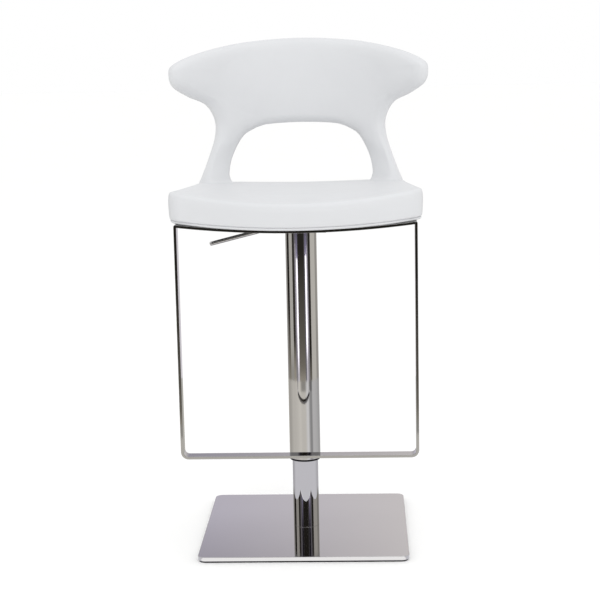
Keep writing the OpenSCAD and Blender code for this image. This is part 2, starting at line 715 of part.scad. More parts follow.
// Ring of a swept tube at index i of a path, square to the path
function ring_at(path, i, r, sides) = let (
    a = path[max(0, i - 1)], b = path[min(len(path) - 1, i + 1)],
    t = unit(b - a), u = unit(cross(t, [0, 1, 0])), v = cross(t, u))
    [for (k = [0 : sides - 1]) path[i] + r * (cos(360 * k / sides) * u + sin(360 * k / sides) * v)];
function band_faces(rings, n) = [for (i = [0 : rings - 2], k = [0 : n - 1], f = [0, 1])
    let (a = i * n + k, b = i * n + (k + 1) % n, c = a + n, d = b + n)
    f == 0 ? [a, c, b] : [b, c, d]];
function end_point(s, up) = let (a = asin(socket_x / under_r), q = under_r - up)
    [s * q * sin(a), socket_y, under_c - q * cos(a)];
leg_low_up = dust_thick + board_thick + socket_flange_h + 0.3;
leg_top_up = seat_thick + 10;
function frame_path() = concat(
    [for (up = [leg_low_up, leg_low_up + socket_h, leg_top_up]) end_point(1, up)],
    [for (t = frame_steps) frame_point(t)],
    [for (k = [len(frame_steps) - 2 : -1 : 0]) let (p = frame_point(frame_steps[k])) [-p[0], p[1], p[2]]],
    [for (up = [leg_top_up, leg_low_up + socket_h, leg_low_up]) end_point(-1, up)]);
module swept(path, r, sides) {
    n = len(path);
    polyhedron(
        points = [for (i = [0 : n - 1]) each ring_at(path, i, r, sides)],
        faces = concat(
            band_faces(n, sides),
            [[for (k = [0 : sides - 1]) k]],
            [[for (k = [sides - 1 : -1 : 0]) (n - 1) * sides + k]]));
}
module back_frame() {
    color("silver") swept(frame_path(), frame_r, frame_sides);
}

// Seat cushion: rings from the pocket over the board, round the lip and sides, to the top
function scaled_ring(d, s) = [for (p = inset_outline(d)) [p[0] * s, p[1] * s]];
pocket_up = dust_thick + board_thick + soft_gap;
top_inset = 10;
edge_drops = [[0, 9], [1.5, 4.8], [4.8, 1.5], [top_inset, 0]];
edge_rise = 3;
side_bulge = 1.5;
seam_up = 6;
function cushion_rings() = concat(
    [for (s = [0.3, 0.65, 1]) [for (p = scaled_ring(lip_w, s)) [p[0], p[1], under_z(p[0], pocket_up)]]],
    [for (d = [lip_w, 4]) [for (p = inset_outline(d)) [p[0], p[1], under_z(p[0], 0)]]],
    [[for (p = inset_outline(0.5)) [p[0], p[1], under_z(p[0], 0) + edge_rise]]],
    [[for (p = inset_outline(-side_bulge / 2)) [p[0], p[1], under_z(p[0], 0) + edge_rise + seam_up]]],
    [[for (p = inset_outline(-side_bulge)) [p[0], p[1], (under_z(p[0], 0) + top_edge_z(p[0], p[1])) / 2]]],
    [for (c = edge_drops)
        [for (p = inset_outline(c[0])) [p[0], p[1], top_edge_z(p[0], p[1]) - c[1]]]],
    [for (s = [0.87, 0.66, 0.43, 0.2])
        [for (p = scaled_ring(top_inset, s)) [p[0], p[1], seat_top_z(p[0], p[1])]]]);
module cushion_shell() {
    rings = cushion_rings();
    n = len(rings);
    low = n * seat_n;
    polyhedron(
        points = concat(
            [for (r = rings) each r],
            [[0, 0, under_z(0, pocket_up)], [0, 0, seat_top_z(0, 0)]]),
        faces = concat(
            band_faces(n, seat_n),
            [for (k = [0 : seat_n - 1]) [low, k, (k + 1) % seat_n]],
            [for (k = [0 : seat_n - 1])
                [low + 1, (n - 1) * seat_n + (k + 1) % seat_n, (n - 1) * seat_n + k]]));
}
module seat_cushion() {
    color("white") difference() {
        cushion_shell();
        at_sockets() {
            translate([0, 0, -2]) cylinder(r = socket_flange_r + 0.5, h = socket_flange_h + 2.5, $fn = 24);
            cylinder(r = frame_r + 3, h = socket_h + 0.5, $fn = 24);
            cylinder(r = frame_r + 0.7, h = 2 * seat_thick, $fn = 24);
        }
    }
}

// Backrest padding: a swept skin with the frame's channel through it, its feet cut to the seat's top
foot_clear = 0.4;
module backrest() {
    n = 2 * last_pt * steps_per_pt;
    rings = [for (i = [0 : n]) let (ring = section(i / steps_per_pt))
        i > 0 && i < n ? ring : [for (p = ring) [p[0], p[1], seat_top_z(p[0], p[1]) + foot_clear]]];
    color("white") difference() {
        polyhedron(
            points = [for (r = rings) each r],
            faces = concat(
                band_faces(len(rings), section_n),
                [[for (k = [0 : section_n - 1]) k]],
                [[for (k = [section_n - 1 : -1 : 0]) n * section_n + k]]));
        swept(frame_path(), frame_r + soft_gap, frame_sides);
    }
}

floor_pad();
base_plate();
column_tube();
column_foot();
column_screws();
column_bush();
lower_race();
bearing_balls();
ball_cage();
upper_race();
piston_rod();
rod_washer();
rod_clip();
bump_stop();
piston();
piston_ring();
pressure_tube();
rod_guide();
rod_seal();
valve_body();
valve_pin();
outer_tube();
end_bush();
taper_hub();
mechanism_housing();
lever_bracket();
pivot_pin();
lever_tongue();
lever_rod();
housing_screws();
footrest_loop();
footrest_screws();
seat_board();
dust_cover();
frame_sockets();
socket_screws();
back_frame();
seat_cushion();
backrest();
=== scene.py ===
"""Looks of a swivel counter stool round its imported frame: covers, bright steel, finishes, floor and light.

Metres in the frame. Pieces are worked out in millimetres and scaled once when their mesh is made.
The sitter faces -Y, the column stands on the Z axis, and the floor is z = 0.
"""
import json
from math import acos, asin, atan, atan2, ceil, cos, pi, radians, sin, sqrt, tan

import bmesh
import bpy
import numpy as np
from mathutils import Matrix, Vector
from mathutils.bvhtree import BVHTree
from mathutils.geometry import delaunay_2d_cdt


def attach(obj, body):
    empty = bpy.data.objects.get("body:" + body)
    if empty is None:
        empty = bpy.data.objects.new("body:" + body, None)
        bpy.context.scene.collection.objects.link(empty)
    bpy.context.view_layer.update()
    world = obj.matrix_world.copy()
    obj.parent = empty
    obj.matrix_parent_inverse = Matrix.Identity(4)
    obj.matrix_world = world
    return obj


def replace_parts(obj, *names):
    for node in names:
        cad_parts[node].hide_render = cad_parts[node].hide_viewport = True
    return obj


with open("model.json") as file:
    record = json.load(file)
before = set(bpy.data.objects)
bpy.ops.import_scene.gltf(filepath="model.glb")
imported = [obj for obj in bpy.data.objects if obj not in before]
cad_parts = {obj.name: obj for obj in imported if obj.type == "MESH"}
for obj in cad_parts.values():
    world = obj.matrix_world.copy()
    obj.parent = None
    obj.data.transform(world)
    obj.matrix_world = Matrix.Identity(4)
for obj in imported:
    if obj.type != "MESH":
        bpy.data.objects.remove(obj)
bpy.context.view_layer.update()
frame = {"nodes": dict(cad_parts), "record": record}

MM = 0.001
TUBE_SIDES = 160
scene = bpy.context.scene


# ---- Meshes

def placed(name, data):
    obj = bpy.data.objects.new(name, data)
    scene.collection.objects.link(obj)
    return obj


def evaluated(obj):
    return obj.evaluated_get(bpy.context.evaluated_depsgraph_get())


def add_piece(name, verts, faces, material, body=None, slot=None, sharp=35):
    """A piece from points in millimetres. Faces turn outward and are shaded smooth up to the sharp angle."""
    mesh = bpy.data.meshes.new(name)
    mesh.from_pydata([tuple(c * MM for c in v) for v in verts], [], [tuple(f) for f in faces])
    bm = bmesh.new()
    bm.from_mesh(mesh)
    bmesh.ops.recalc_face_normals(bm, faces=bm.faces)
    bm.to_mesh(mesh)
    bm.free()
    mesh.shade_smooth()
    mesh.set_sharp_from_angle(angle=radians(sharp))
    mesh.materials.append(material)
    obj = placed(name, mesh)
    if body:
        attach(obj, body)
    return obj


def firm(obj):
    """Large faces lead the shading of a hard piece, so that flats and tubes mirror without a warp."""
    lead = obj.modifiers.new("flats", "WEIGHTED_NORMAL")
    lead.mode, lead.weight, lead.keep_sharp = "FACE_AREA", 100, True
    return obj


def loft(rings, wrap=False, capped=True):
    """Points and faces that join equal closed rings. wrap joins the last ring to the first, without caps."""
    n = len(rings[0])
    verts = [p for ring in rings for p in ring]
    faces = []
    for i in range(len(rings) if wrap else len(rings) - 1):
        a, b = i * n, (i + 1) % len(rings) * n
        for k in range(n):
            q = (k + 1) % n
            faces.append((a + k, a + q, b + q, b + k))
    if capped and not wrap:
        faces += [tuple(range(n - 1, -1, -1)), tuple((len(rings) - 1) * n + k for k in range(n))]
    return verts, faces


def round_corners(points, radius, steps):
    """A closed outline in 2D with its corners rounded. radius is one number, or one for each corner."""
    out = []
    n = len(points)
    for i, p in enumerate(points):
        r = radius[i] if isinstance(radius, (list, tuple)) else radius
        if r <= 0:
            out.append(tuple(p))
            continue
        a, c, b = Vector(points[i - 1]), Vector(p), Vector(points[(i + 1) % n])
        u, v = (a - c).normalized(), (b - c).normalized()
        half = acos(max(-1, min(1, u.dot(v)))) / 2
        centre = c + (u + v).normalized() * (r / sin(half))
        start, end = c + u * (r / tan(half)) - centre, c + v * (r / tan(half)) - centre
        a0, a1 = atan2(start.y, start.x), atan2(end.y, end.x)
        turn = (a1 - a0 + pi) % (2 * pi) - pi
        for k in range(steps + 1):
            w = a0 + turn * k / steps
            out.append((centre.x + r * cos(w), centre.y + r * sin(w)))
    return out


def lathe(profile, sides, closed=True):
    """Turns a profile of (radius, z) round the Z axis. An open profile starts and ends on the axis."""
    rings = [[(r * cos(2 * pi * k / sides), r * sin(2 * pi * k / sides), z) for k in range(sides)]
             for r, z in profile]
    return loft(rings, wrap=closed)


def round_tube(r_out, r_in, low, high, soft):
    """A tube round the Z axis with softened edges."""
    wall = [(r_in, low), (r_out, low), (r_out, high), (r_in, high)]
    return lathe(round_corners(wall, soft, 3), TUBE_SIDES)


def rounded_rect(half_x, half_y, r, steps):
    """Outline of a rectangle with rounded corners, counter-clockwise from the right of the front edge."""
    pts = [(half_x, -half_y), (half_x, half_y), (-half_x, half_y), (-half_x, -half_y)]
    return round_corners(pts, r, steps)


def resample(points, count):
    """The same line with count equal steps along it."""
    pts = np.array(points, float)
    along = np.concatenate([[0], np.cumsum(np.linalg.norm(np.diff(pts, axis=0), axis=1))])
    at = np.linspace(0, along[-1], count + 1)
    return np.stack([np.interp(at, along, pts[:, i]) for i in range(pts.shape[1])], 1)


def between(low, high, share):
    return low + (high - low) * share


def smooth_step(a, b, c, d, s):
    """The place at share s from b to c, on the smooth line through a, b, c and d."""
    return 0.5 * (2 * b + (c - a) * s + (2 * a - 5 * b + 4 * c - d) * s * s + (3 * b - a - 3 * c + d) * s ** 3)


# ---- Finishes

NOISE_LOW, NOISE_HIGH = 0.3, 0.7  # where most of a noise's values lie


class Graph:
    """A material's node tree, laid out in the object's own space."""

    def __init__(self, name):
        self.mat = bpy.data.materials.new(name)
        self.mat.use_nodes = True
        self.tree = self.mat.node_tree
        self.tree.nodes.clear()
        self.place = self.node("ShaderNodeTexCoord").outputs["Object"]

    def node(self, kind, **values):
        """A new node. The values are its attributes, or else its inputs, with _ for a space."""
        made = self.tree.nodes.new(kind)
        for key, value in values.items():
            if hasattr(made, key):
                setattr(made, key, value)
            else:
                made.inputs[key.replace("_", " ")].default_value = value
        return made

    def link(self, a, b):
        self.tree.links.new(a, b)

    def surface(self, shader):
        self.link(shader.outputs[0], self.node("ShaderNodeOutputMaterial").inputs["Surface"])

    def lit(self, color):
        """Ends the tree as light of this colour."""
        light = self.node("ShaderNodeEmission")
        self.link(color, light.inputs["Color"])
        self.surface(light)
        return self.mat


class Finish(Graph):
    """A procedural material: one principled shader and its textures."""

    def __init__(self, name, color, rough, **sockets):
        super().__init__(name)
        self.mat.diffuse_color = (*color, 1)
        self.shader = self.node("ShaderNodeBsdfPrincipled", Base_Color=(*color, 1), Roughness=rough, **sockets)
        self.surface(self.shader)
        self.color, self.normal = color, None

    def stretched(self, scale):
        """Object space scaled by axis, for grain that runs one way."""
        shift = self.node("ShaderNodeMapping", Scale=scale)
        self.link(self.place, shift.inputs["Vector"])
        return shift.outputs[0]

    def noise(self, scale, detail, rough=0.5, place=None):
        made = self.node("ShaderNodeTexNoise", Scale=scale, Detail=detail, Roughness=rough)
        self.link(place or self.place, made.inputs["Vector"])
        return made.outputs["Fac"]

    def cells(self, scale, feature="F1", **values):
        made = self.node("ShaderNodeTexVoronoi", feature=feature, Scale=scale, **values)
        self.link(self.place, made.inputs["Vector"])
        return made.outputs["Distance"]

    def vary_color(self, value, dark, light, low=NOISE_LOW, high=NOISE_HIGH):
        """The colour from its dark to its light share, as the value goes from low to high."""
        ramp = self.node("ShaderNodeValToRGB")
        ramp.color_ramp.elements[0].position = low
        ramp.color_ramp.elements[1].position = high
        ramp.color_ramp.elements[0].color = (*[c * dark for c in self.color], 1)
        ramp.color_ramp.elements[1].color = (*[min(1, c * light) for c in self.color], 1)
        self.link(value, ramp.inputs[0])
        self.link(ramp.outputs[0], self.shader.inputs["Base Color"])

    def vary_rough(self, value, low, high):
        made = self.node("ShaderNodeMapRange", From_Min=NOISE_LOW, From_Max=NOISE_HIGH, To_Min=low, To_Max=high)
        self.link(value, made.inputs["Value"])
        self.link(made.outputs[0], self.shader.inputs["Roughness"])

    def bump(self, value, depth, strength):
        """Adds relief of that depth in metres on top of what is there."""
        made = self.node("ShaderNodeBump", Strength=strength, Distance=depth)
        self.link(value, made.inputs["Height"])
        if self.normal:
            self.link(self.normal, made.inputs["Normal"])
        self.normal = made.outputs[0]
        self.link(self.normal, self.shader.inputs["Normal"])


def leatherette():
    f = Finish("white_leatherette", (0.642, 0.650, 0.665), 0.46, IOR=1.45, Specular_IOR_Level=0.42)
    f.vary_color(f.noise(9, 4), 0.985, 1.012)
    f.vary_rough(f.noise(60, 3), 0.43, 0.50)
    f.bump(f.cells(1150, "SMOOTH_F1", Smoothness=0.35), 0.00007, 0.55)
    f.bump(f.noise(2600, 2), 0.00002, 0.5)
    return f.mat


def mirror(name, color):
    f = Finish(name, color, 0.045, Metallic=1.0)
    f.vary_rough(f.noise(14, 4), 0.03, 0.06)
    f.vary_color(f.noise(7, 3), 0.985, 1.01)
    f.bump(f.noise(420, 2), 0.0000025, 0.25)
    return f.mat


def steel(name, color, rough, spread):
    f = Finish(name, color, rough, Metallic=1.0)
    lines = f.noise(900, 3, place=f.stretched((1, 1, 40)))
    f.vary_rough(lines, rough - spread, rough + spread)
    f.vary_color(f.noise(45, 3), 0.93, 1.05)
    f.bump(lines, 0.00001, 0.4)
    return f.mat


def coated(name, color, rough, grain, depth, light, gloss):
    f = Finish(name, color, rough, Specular_IOR_Level=gloss)
    f.vary_color(f.noise(35, 3), 0.85, light)
    f.vary_rough(f.noise(grain / 6, 2), rough - 0.06, rough + 0.08)
    f.bump(f.noise(grain, 2), depth, 0.6)
    return f.mat


def plywood():
    f = Finish("plywood", (0.50, 0.35, 0.21), 0.62)
    grain = f.noise(70, 5, 0.6, f.stretched((1, 9, 60)))
    f.vary_color(grain, 0.66, 1.28, 0.35, 0.66)
    f.bump(grain, 0.00015, 0.5)
    f.vary_rough(grain, 0.55, 0.7)
    return f.mat


def black_cloth():
    f = Finish("black_cloth", (0.02, 0.02, 0.021), 0.85, Sheen_Weight=0.25, Sheen_Roughness=0.6)
    fibres = f.noise(1800, 5, 0.75)
    f.vary_color(fibres, 0.6, 1.7, 0.4, 0.62)
    f.bump(f.cells(750), 0.0001, 0.5)
    f.bump(fibres, 0.00012, 0.8)
    return f.mat


# Name, colour, roughness and its spread
STEELS = (("bright_steel", (0.56, 0.56, 0.57), 0.16, 0.04), ("plain_steel", (0.43, 0.43, 0.44), 0.38, 0.08),
          ("brass_cage", (0.68, 0.50, 0.22), 0.32, 0.08))
# Name, colour, roughness, size and depth of the grain, lightest share of the colour, gloss
COATINGS = (("dark_steel", (0.035, 0.035, 0.04), 0.38, 1500, 0.00002, 1.25, 0.5),
            ("black_paint", (0.022, 0.022, 0.024), 0.42, 700, 0.00006, 1.25, 0.5),
            ("pad_rubber", (0.010, 0.010, 0.010), 0.86, 900, 0.0001, 1.25, 0.15),
            ("black_nylon", (0.006, 0.006, 0.007), 0.68, 1200, 0.00003, 1.25, 0.08),
            ("white_nylon", (0.80, 0.80, 0.76), 0.42, 1200, 0.00003, 1.03, 0.5))
finishes = {"white_leatherette": leatherette(), "mirror_steel": mirror("mirror_steel", (0.545, 0.535, 0.535)),
            "plywood": plywood(), "black_cloth": black_cloth()}
finishes |= {row[0]: steel(*row) for row in STEELS} | {row[0]: coated(*row) for row in COATINGS}
for row in frame["record"]["subparts"]:
    node = frame["nodes"][row["node"]]
    for place in node.material_slots:
        place.material = finishes[row["material_slot"]]

# ---- Seat: its outline and surfaces, as in the solids

SEAT_FRONT, SEAT_REAR = 265.0, 147.5
HALF_FRONT, HALF_REAR = 226.7, 206.1
REAR_START, REAR_POWER = 5.0, 2.6
FRONT_BOW, CORNER_R = 19.6, 27.0
UNDER_R, UNDER_Z = 1767.0, 636.0
SEAT_THICK, CROWN = 48.6, 5.0
DISH_FRONT, DISH_REAR = 23.5, 10.0
EDGE_IN, REAR_RISE = 10.0, 2
SEAT_CELLS = 76
FRONT_STEPS, CORNER_HALF, SIDE_STEPS, REAR_HALF = 60, 30, 40, 80
POCKET_IN, POCKET_UP = 10, 13.4


def bow_y(x):
    return -SEAT_FRONT + FRONT_BOW * (x / HALF_FRONT) ** 2


def under_z(x, up=0.0):
    return UNDER_Z + UNDER_R - sqrt((UNDER_R - up) ** 2 - x * x)


def along(y):
    return (y + SEAT_FRONT) / (SEAT_FRONT + SEAT_REAR)


def top_edge_z(x, y):
    dish = between(DISH_FRONT, DISH_REAR, along(y))
    return UNDER_Z + SEAT_THICK + REAR_RISE * along(y) + dish * (x / HALF_FRONT) ** 2


def crown_z(x, y):
    return CROWN * max(0, 1 - (x / HALF_FRONT) ** 2) * max(0, 1 - (2 * along(y) - 1) ** 2)


def seat_sides():
    """The seat's outline as four lines of equal steps: front, right, rear, left, counter-clockwise."""
    cx = HALF_FRONT - CORNER_R
    bow = atan(2 * FRONT_BOW * cx / HALF_FRONT ** 2)
    x0 = cx + CORNER_R * sin(bow)
    cy = bow_y(x0) + CORNER_R * cos(bow)
    lean = atan((HALF_FRONT - HALF_REAR) / (REAR_START - cy))
    sweep = pi / 2 - bow + lean
    front = [(x, bow_y(x)) for x in np.linspace(0, x0, FRONT_STEPS)[:-1]]
    arc = [(cx + CORNER_R * cos(a), cy + CORNER_R * sin(a))
           for a in np.linspace(bow - pi / 2, bow - pi / 2 + sweep, 2 * CORNER_HALF + 1)]
    side = [tuple(np.array(arc[-1]) * (1 - s) + np.array([HALF_REAR, REAR_START]) * s)
            for s in np.linspace(0, 1, SIDE_STEPS)[1:-1]]
    rear = [(HALF_REAR * max(0, cos(a)) ** (2 / REAR_POWER),
             REAR_START + (SEAT_REAR - REAR_START) * sin(a) ** (2 / REAR_POWER))
            for a in np.linspace(0, pi / 2, 2 * REAR_HALF + 1)]
    def flip(line):
        return [(-x, y) for x, y in line][::-1]
    half_front = front + arc[:CORNER_HALF + 1]
    right = arc[CORNER_HALF:] + side + rear[:REAR_HALF + 1]
    half_rear = rear[REAR_HALF:]
    lines = [flip(half_front)[:-1] + half_front, right, half_rear[:-1] + flip(half_rear), flip(right)]
    return [resample(line, SEAT_CELLS) for line in lines]


sides = seat_sides()
outline = np.concatenate([line[:-1] for line in sides])
step = np.roll(outline, -1, 0) - np.roll(outline, 1, 0)
out_dir = np.stack([step[:, 1], -step[:, 0]], 1)
out_dir /= np.linalg.norm(out_dir, axis=1)[:, None]


def inset(d):
    """The seat's outline, drawn in by d."""
    return outline - d * out_dir


def smooth_line(points, steps):
    """A smooth line through the given rows of numbers."""
    pts = [np.array(p, float) for p in points]
    pts = [2 * pts[0] - pts[1]] + pts + [2 * pts[-1] - pts[-2]]
    out = []
    for i in range(1, len(pts) - 2):
        a, b, c, d = pts[i - 1:i + 3]
        out += [smooth_step(a, b, c, d, s) for s in np.arange(steps) / steps]
    out.append(pts[-2])
    return out


# Rows of the seat cover's section: inset from the outline, share from underside to top edge, extra height.
# It starts in the pocket over the board and turns round the lip. A pressed seam runs above the turned edge,
# and the side goes up into the soft top edge.
UNDER_ROWS = [(10, 0, 0), (6.8, 0, 0), (4.6, 0, 0.2), (2.9, 0, 0.8), (1.8, 0, 1.8), (1.3, 0, 3.0),
              (1.5, 0, 4.3)]
SEAM_ROWS = [(1.5, 0, 4.3), (2.9, 0, 5.2), (0.7, 0, 6.3)]
SIDE_ROWS = [(0.7, 0, 6.3), (-0.35, 0, 9.5), (-1.3, 0.40, 0), (-1.6, 0.66, 0), (-1.2, 1, -12)]
EDGE_ROWS = [(-1.2, 1, -12), (-0.6, 1, -7.6), (0.35, 1, -4.4), (1.7, 1, -2.3), (3.7, 1, -1.0), (6.4, 1, -0.3),
             (EDGE_IN, 1, 0)]


def seat_ring(row):
    d, share, extra = row
    pts = []
    for x, y in inset(d):
        low, top = under_z(x), top_edge_z(x, y)
        z = low + (top - low) * share + extra
        if share == 1 and d > 0:
            z += crown_z(x, y) * (d / EDGE_IN) ** 2
        pts.append((x, y, z))
    return pts


def patch(ring, height):
    """Fills a ring of the seat's outline with an even grid: its inner points, and where each one stands."""
    m = SEAT_CELLS
    border = [np.array(p[:2]) for p in ring]
    c0, d1 = border[:m + 1], border[m:2 * m + 1]
    c1 = border[2 * m:3 * m + 1][::-1]
    d0 = (border[3 * m:] + [border[0]])[::-1]
    inner, where = [], {}
    for j in range(1, m):
        for i in range(1, m):
            u, v = i / m, j / m
            p = ((1 - v) * c0[i] + v * c1[i] + (1 - u) * d0[j] + u * d1[j]
                 - (1 - u) * (1 - v) * c0[0] - u * (1 - v) * c0[m] - (1 - u) * v * c1[0] - u * v * c1[m])
            where[i, j] = len(inner)
            inner.append((p[0], p[1], height(p[0], p[1])))
    return inner, where


def patch_faces(where, ring_at, inner_at, down=False):
    """The faces of a filled ring, whose own points start at ring_at and its inner ones at inner_at."""
    m = SEAT_CELLS
    def corner(i, j):
        if (i, j) in where:
            return inner_at + where[i, j]
        if j == 0:
            return ring_at + i
        if i == m:
            return ring_at + m + j
        if j == m:
            return ring_at + 3 * m - i
        return ring_at + (4 * m - j) % (4 * m)
    faces = []
    for j in range(m):
        for i in range(m):
            f = (corner(i, j), corner(i + 1, j), corner(i + 1, j + 1), corner(i, j + 1))
            faces.append(f[::-1] if down else f)
    return faces


def seat_cover():
    rows = (smooth_line(UNDER_ROWS, 2)[:-1] + smooth_line(SEAM_ROWS, 3)[:-1] + smooth_line(SIDE_ROWS, 4)[:-1]
            + smooth_line(EDGE_ROWS, 2))
    rows = [(round(r[0], 4), 1 if r[1] > 0.999 else round(r[1], 4), r[2]) for r in rows]
    pocket = [(x, y, under_z(x, POCKET_UP)) for x, y in inset(POCKET_IN)]
    rings = [pocket] + [seat_ring(row) for row in rows]
    verts, faces = loft(rings, capped=False)
    low, low_at = patch(pocket, lambda x, y: under_z(x, POCKET_UP))
    top, top_at = patch(rings[-1], lambda x, y: top_edge_z(x, y) + crown_z(x, y))
    faces += patch_faces(low_at, 0, len(verts), down=True)
    faces += patch_faces(top_at, (len(rings) - 1) * 4 * SEAT_CELLS, len(verts) + len(low))
    return verts + low + top, faces


seat = add_piece("seat_cover", *seat_cover(), finishes["white_leatherette"], sharp=60)


def edge_distance(x, y):
    """How far a point lies inside the seat's outline."""
    gap = outline - np.array([x, y])
    k = int(np.argmin((gap ** 2).sum(1)))
    return float(gap[k] @ out_dir[k])


DROP_AT = [row[0] for row in EDGE_ROWS[1:]]
DROP = [-row[2] for row in EDGE_ROWS[1:]]


def seat_surface(x, y):
    """The height of the seat's top, its soft edge included."""
    d = max(0.0, min(EDGE_IN, edge_distance(x, y)))
    return top_edge_z(x, y) + crown_z(x, y) * (d / EDGE_IN) ** 2 - float(np.interp(d, DROP_AT, DROP))


# ---- Backrest: one arch of padding, swept from foot to foot

BACK_Y, BACK_LEAN, LEG_SWEEP, SWEEP_POWER = 127.0, 0.13, 89.0, 2.3
FOOT_Z, TOP_Z, OPEN_TOP = 693.1, 974.8, 807.0
LEG_HALF, WAIST_HALF, BACK_HALF, OPEN_HALF = 196.3, 167.0, 244.5, 145.3
HALF_T, FOOT_HALF_T, FLARE_H = 15.0, 22.0, 47.0
EDGE_ROUND = 15.0
# The faces' crown, by the section's width, and how far they keep square to the rounded edges
LEAST_CROWN, MOST_CROWN, CROWN_FROM, CROWN_OVER = 1.2, 3.0, 30, 40
LEAST_PULL, PULL_WIDTH = 0.4, 60
SIDE_SPAN = 0.2


# Shares of the width and height, from the foot up to the middle of the crest, and of the opening
LEG_LINE = [(1, 0), (0.77, 0.073), (0.4, 0.188), (0.03, 0.32)]
WING_LINE = [(0, 0.435), (0.2, 0.544), (0.6, 0.613), (0.91, 0.68), (1, 0.76), (0.92, 0.836)]
CREST_LINE = [(0.81, 0.906), (0.534, 0.965), (0.265, 0.991)]
OPENING = [(0.98, 0), (1, 0.155), (0.946, 0.45), (0.81, 0.767), (0.662, 0.897), (0.527, 0.961), (0.426, 0.98),
           (0.351, 0.987), (0.297, 0.991), (0.243, 0.994), (0.182, 0.997), (0.122, 0.998), (0.061, 1), (0, 1)]
OUTER = [(between(WAIST_HALF, half, a), between(FOOT_Z, TOP_Z, b))
         for half, line in ((LEG_HALF, LEG_LINE), (BACK_HALF, WING_LINE)) for a, b in line]
OUTER += [(BACK_HALF * a, between(FOOT_Z, TOP_Z, b)) for a, b in CREST_LINE] + [(0, TOP_Z)]
INNER = [(OPEN_HALF * a, between(FOOT_Z, OPEN_TOP, b)) for a, b in OPENING]
LAST = len(OUTER) - 1


def curve_pt(line, k):
    """A point of the right half's line, or of its mirror image beyond the middle."""
    if k > LAST:
        q = curve_pt(line, 2 * LAST - k)
        return np.array([-q[0], q[1]])
    if k < 0:
        return 2 * np.array(line[0], float) - np.array(line[-k], float)
    return np.array(line[k], float)


def curve(line, t):
    k = int(np.floor(t))
    s = t - k
    return smooth_step(*(curve_pt(line, k + i) for i in (-1, 0, 1, 2)), s)


def curve_side(line, t):
    """The direction square to a line, in the front view."""
    d = curve(line, t + SIDE_SPAN) - curve(line, t - SIDE_SPAN)
    v = np.array([d[1], -d[0]])
    return v / np.linalg.norm(v)


def mid_y(x, z):
    return BACK_Y + BACK_LEAN * (z - FOOT_Z) - LEG_SWEEP * (abs(x) / LEG_HALF) ** SWEEP_POWER


def back_point(p, h):
    """A place in the front view, set h behind the padding's middle surface."""
    e = 0.5
    slope = (mid_y(p[0] + e, p[1]) - mid_y(p[0] - e, p[1])) / (2 * e)
    n = np.array([-slope, 1, -BACK_LEAN])
    n /= np.linalg.norm(n)
    return np.array([p[0], mid_y(*p), p[1]]) + h * n


def half_t(z):
    return between(HALF_T, FOOT_HALF_T, max(0, min(1, (FOOT_Z + FLARE_H - z) / FLARE_H)) ** 2)


ARC_STEPS, FLAT_STEPS = 8, 20


def back_edges(t):
    """The padding's section: edges, their directions and half thicknesses, crown, pull and ends of the arcs."""
    o, i = curve(OUTER, t), curve(INNER, t)
    no, ni = curve_side(OUTER, t), curve_side(INNER, t)
    ho, hi = half_t(o[1]), half_t(i[1])
    width = float(np.linalg.norm(o - i)) - 2 * EDGE_ROUND
    crown = max(LEAST_CROWN, min(MOST_CROWN, MOST_CROWN - (width - CROWN_FROM) / CROWN_OVER))
    pull = width * max(LEAST_PULL, min(1.0, PULL_WIDTH / width))
    end_o = atan2(ho * pull, EDGE_ROUND * (4 * crown + hi - ho))
    end_i = atan2(hi * pull, EDGE_ROUND * (4 * crown - hi + ho))
    return o, i, no, ni, ho, hi, crown, pull, end_o, end_i


def face_line(t):
    """Places in the front view from one rounded edge to the other, leaving both squarely."""
    o, i, no, ni, _, _, _, pull, end_o, end_i = back_edges(t)
    oi, ii = o - EDGE_ROUND * (1 - cos(end_o)) * no, i + EDGE_ROUND * (1 - cos(end_i)) * ni
    return [(1 + 2 * f) * (1 - f) ** 2 * oi - f * (1 - f) ** 2 * pull * no
            + f * f * (3 - 2 * f) * ii + f * f * (1 - f) * pull * ni
            for f in np.linspace(0, 1, FLAT_STEPS + 1)]


def back_section(t, places=None):
    """A closed ring of the padding, from the outer edge over the rear face to the opening and back in front."""
    o, i, no, ni, ho, hi, crown, _, end_o, end_i = back_edges(t)
    places = face_line(t) if places is None else places
    def side(sign):
        pts = []
        for k in range(1, ARC_STEPS + 1):
            a = end_o * k / ARC_STEPS
            pts.append(back_point(o - EDGE_ROUND * (1 - cos(a)) * no, sign * ho * sin(a)))
        for k in range(1, FLAT_STEPS):
            f = k / FLAT_STEPS
            bulge = crown * (1 - (2 * f - 1) ** 2)
            level = ho * sin(end_o) * (1 - f) + hi * sin(end_i) * f
            pts.append(back_point(places[k], sign * (level + bulge)))
        for k in range(ARC_STEPS, 0, -1):
            a = end_i * k / ARC_STEPS
            pts.append(back_point(i + EDGE_ROUND * (1 - cos(a)) * ni, sign * hi * sin(a)))
        return pts
    return [back_point(o, 0)] + side(1) + [back_point(i, 0)] + side(-1)[::-1]


FOOT_FILLET, LEAST_FILLET, OUTER_FILLET = 8.0, 0.6, 0.16
FOOT_START = 0.85
INSIDE_SEAT = ((0.6, -4.0), (1.03, -0.8))  # rings below the seat's surface: share of the fillet, height
BACK_RINGS = 195


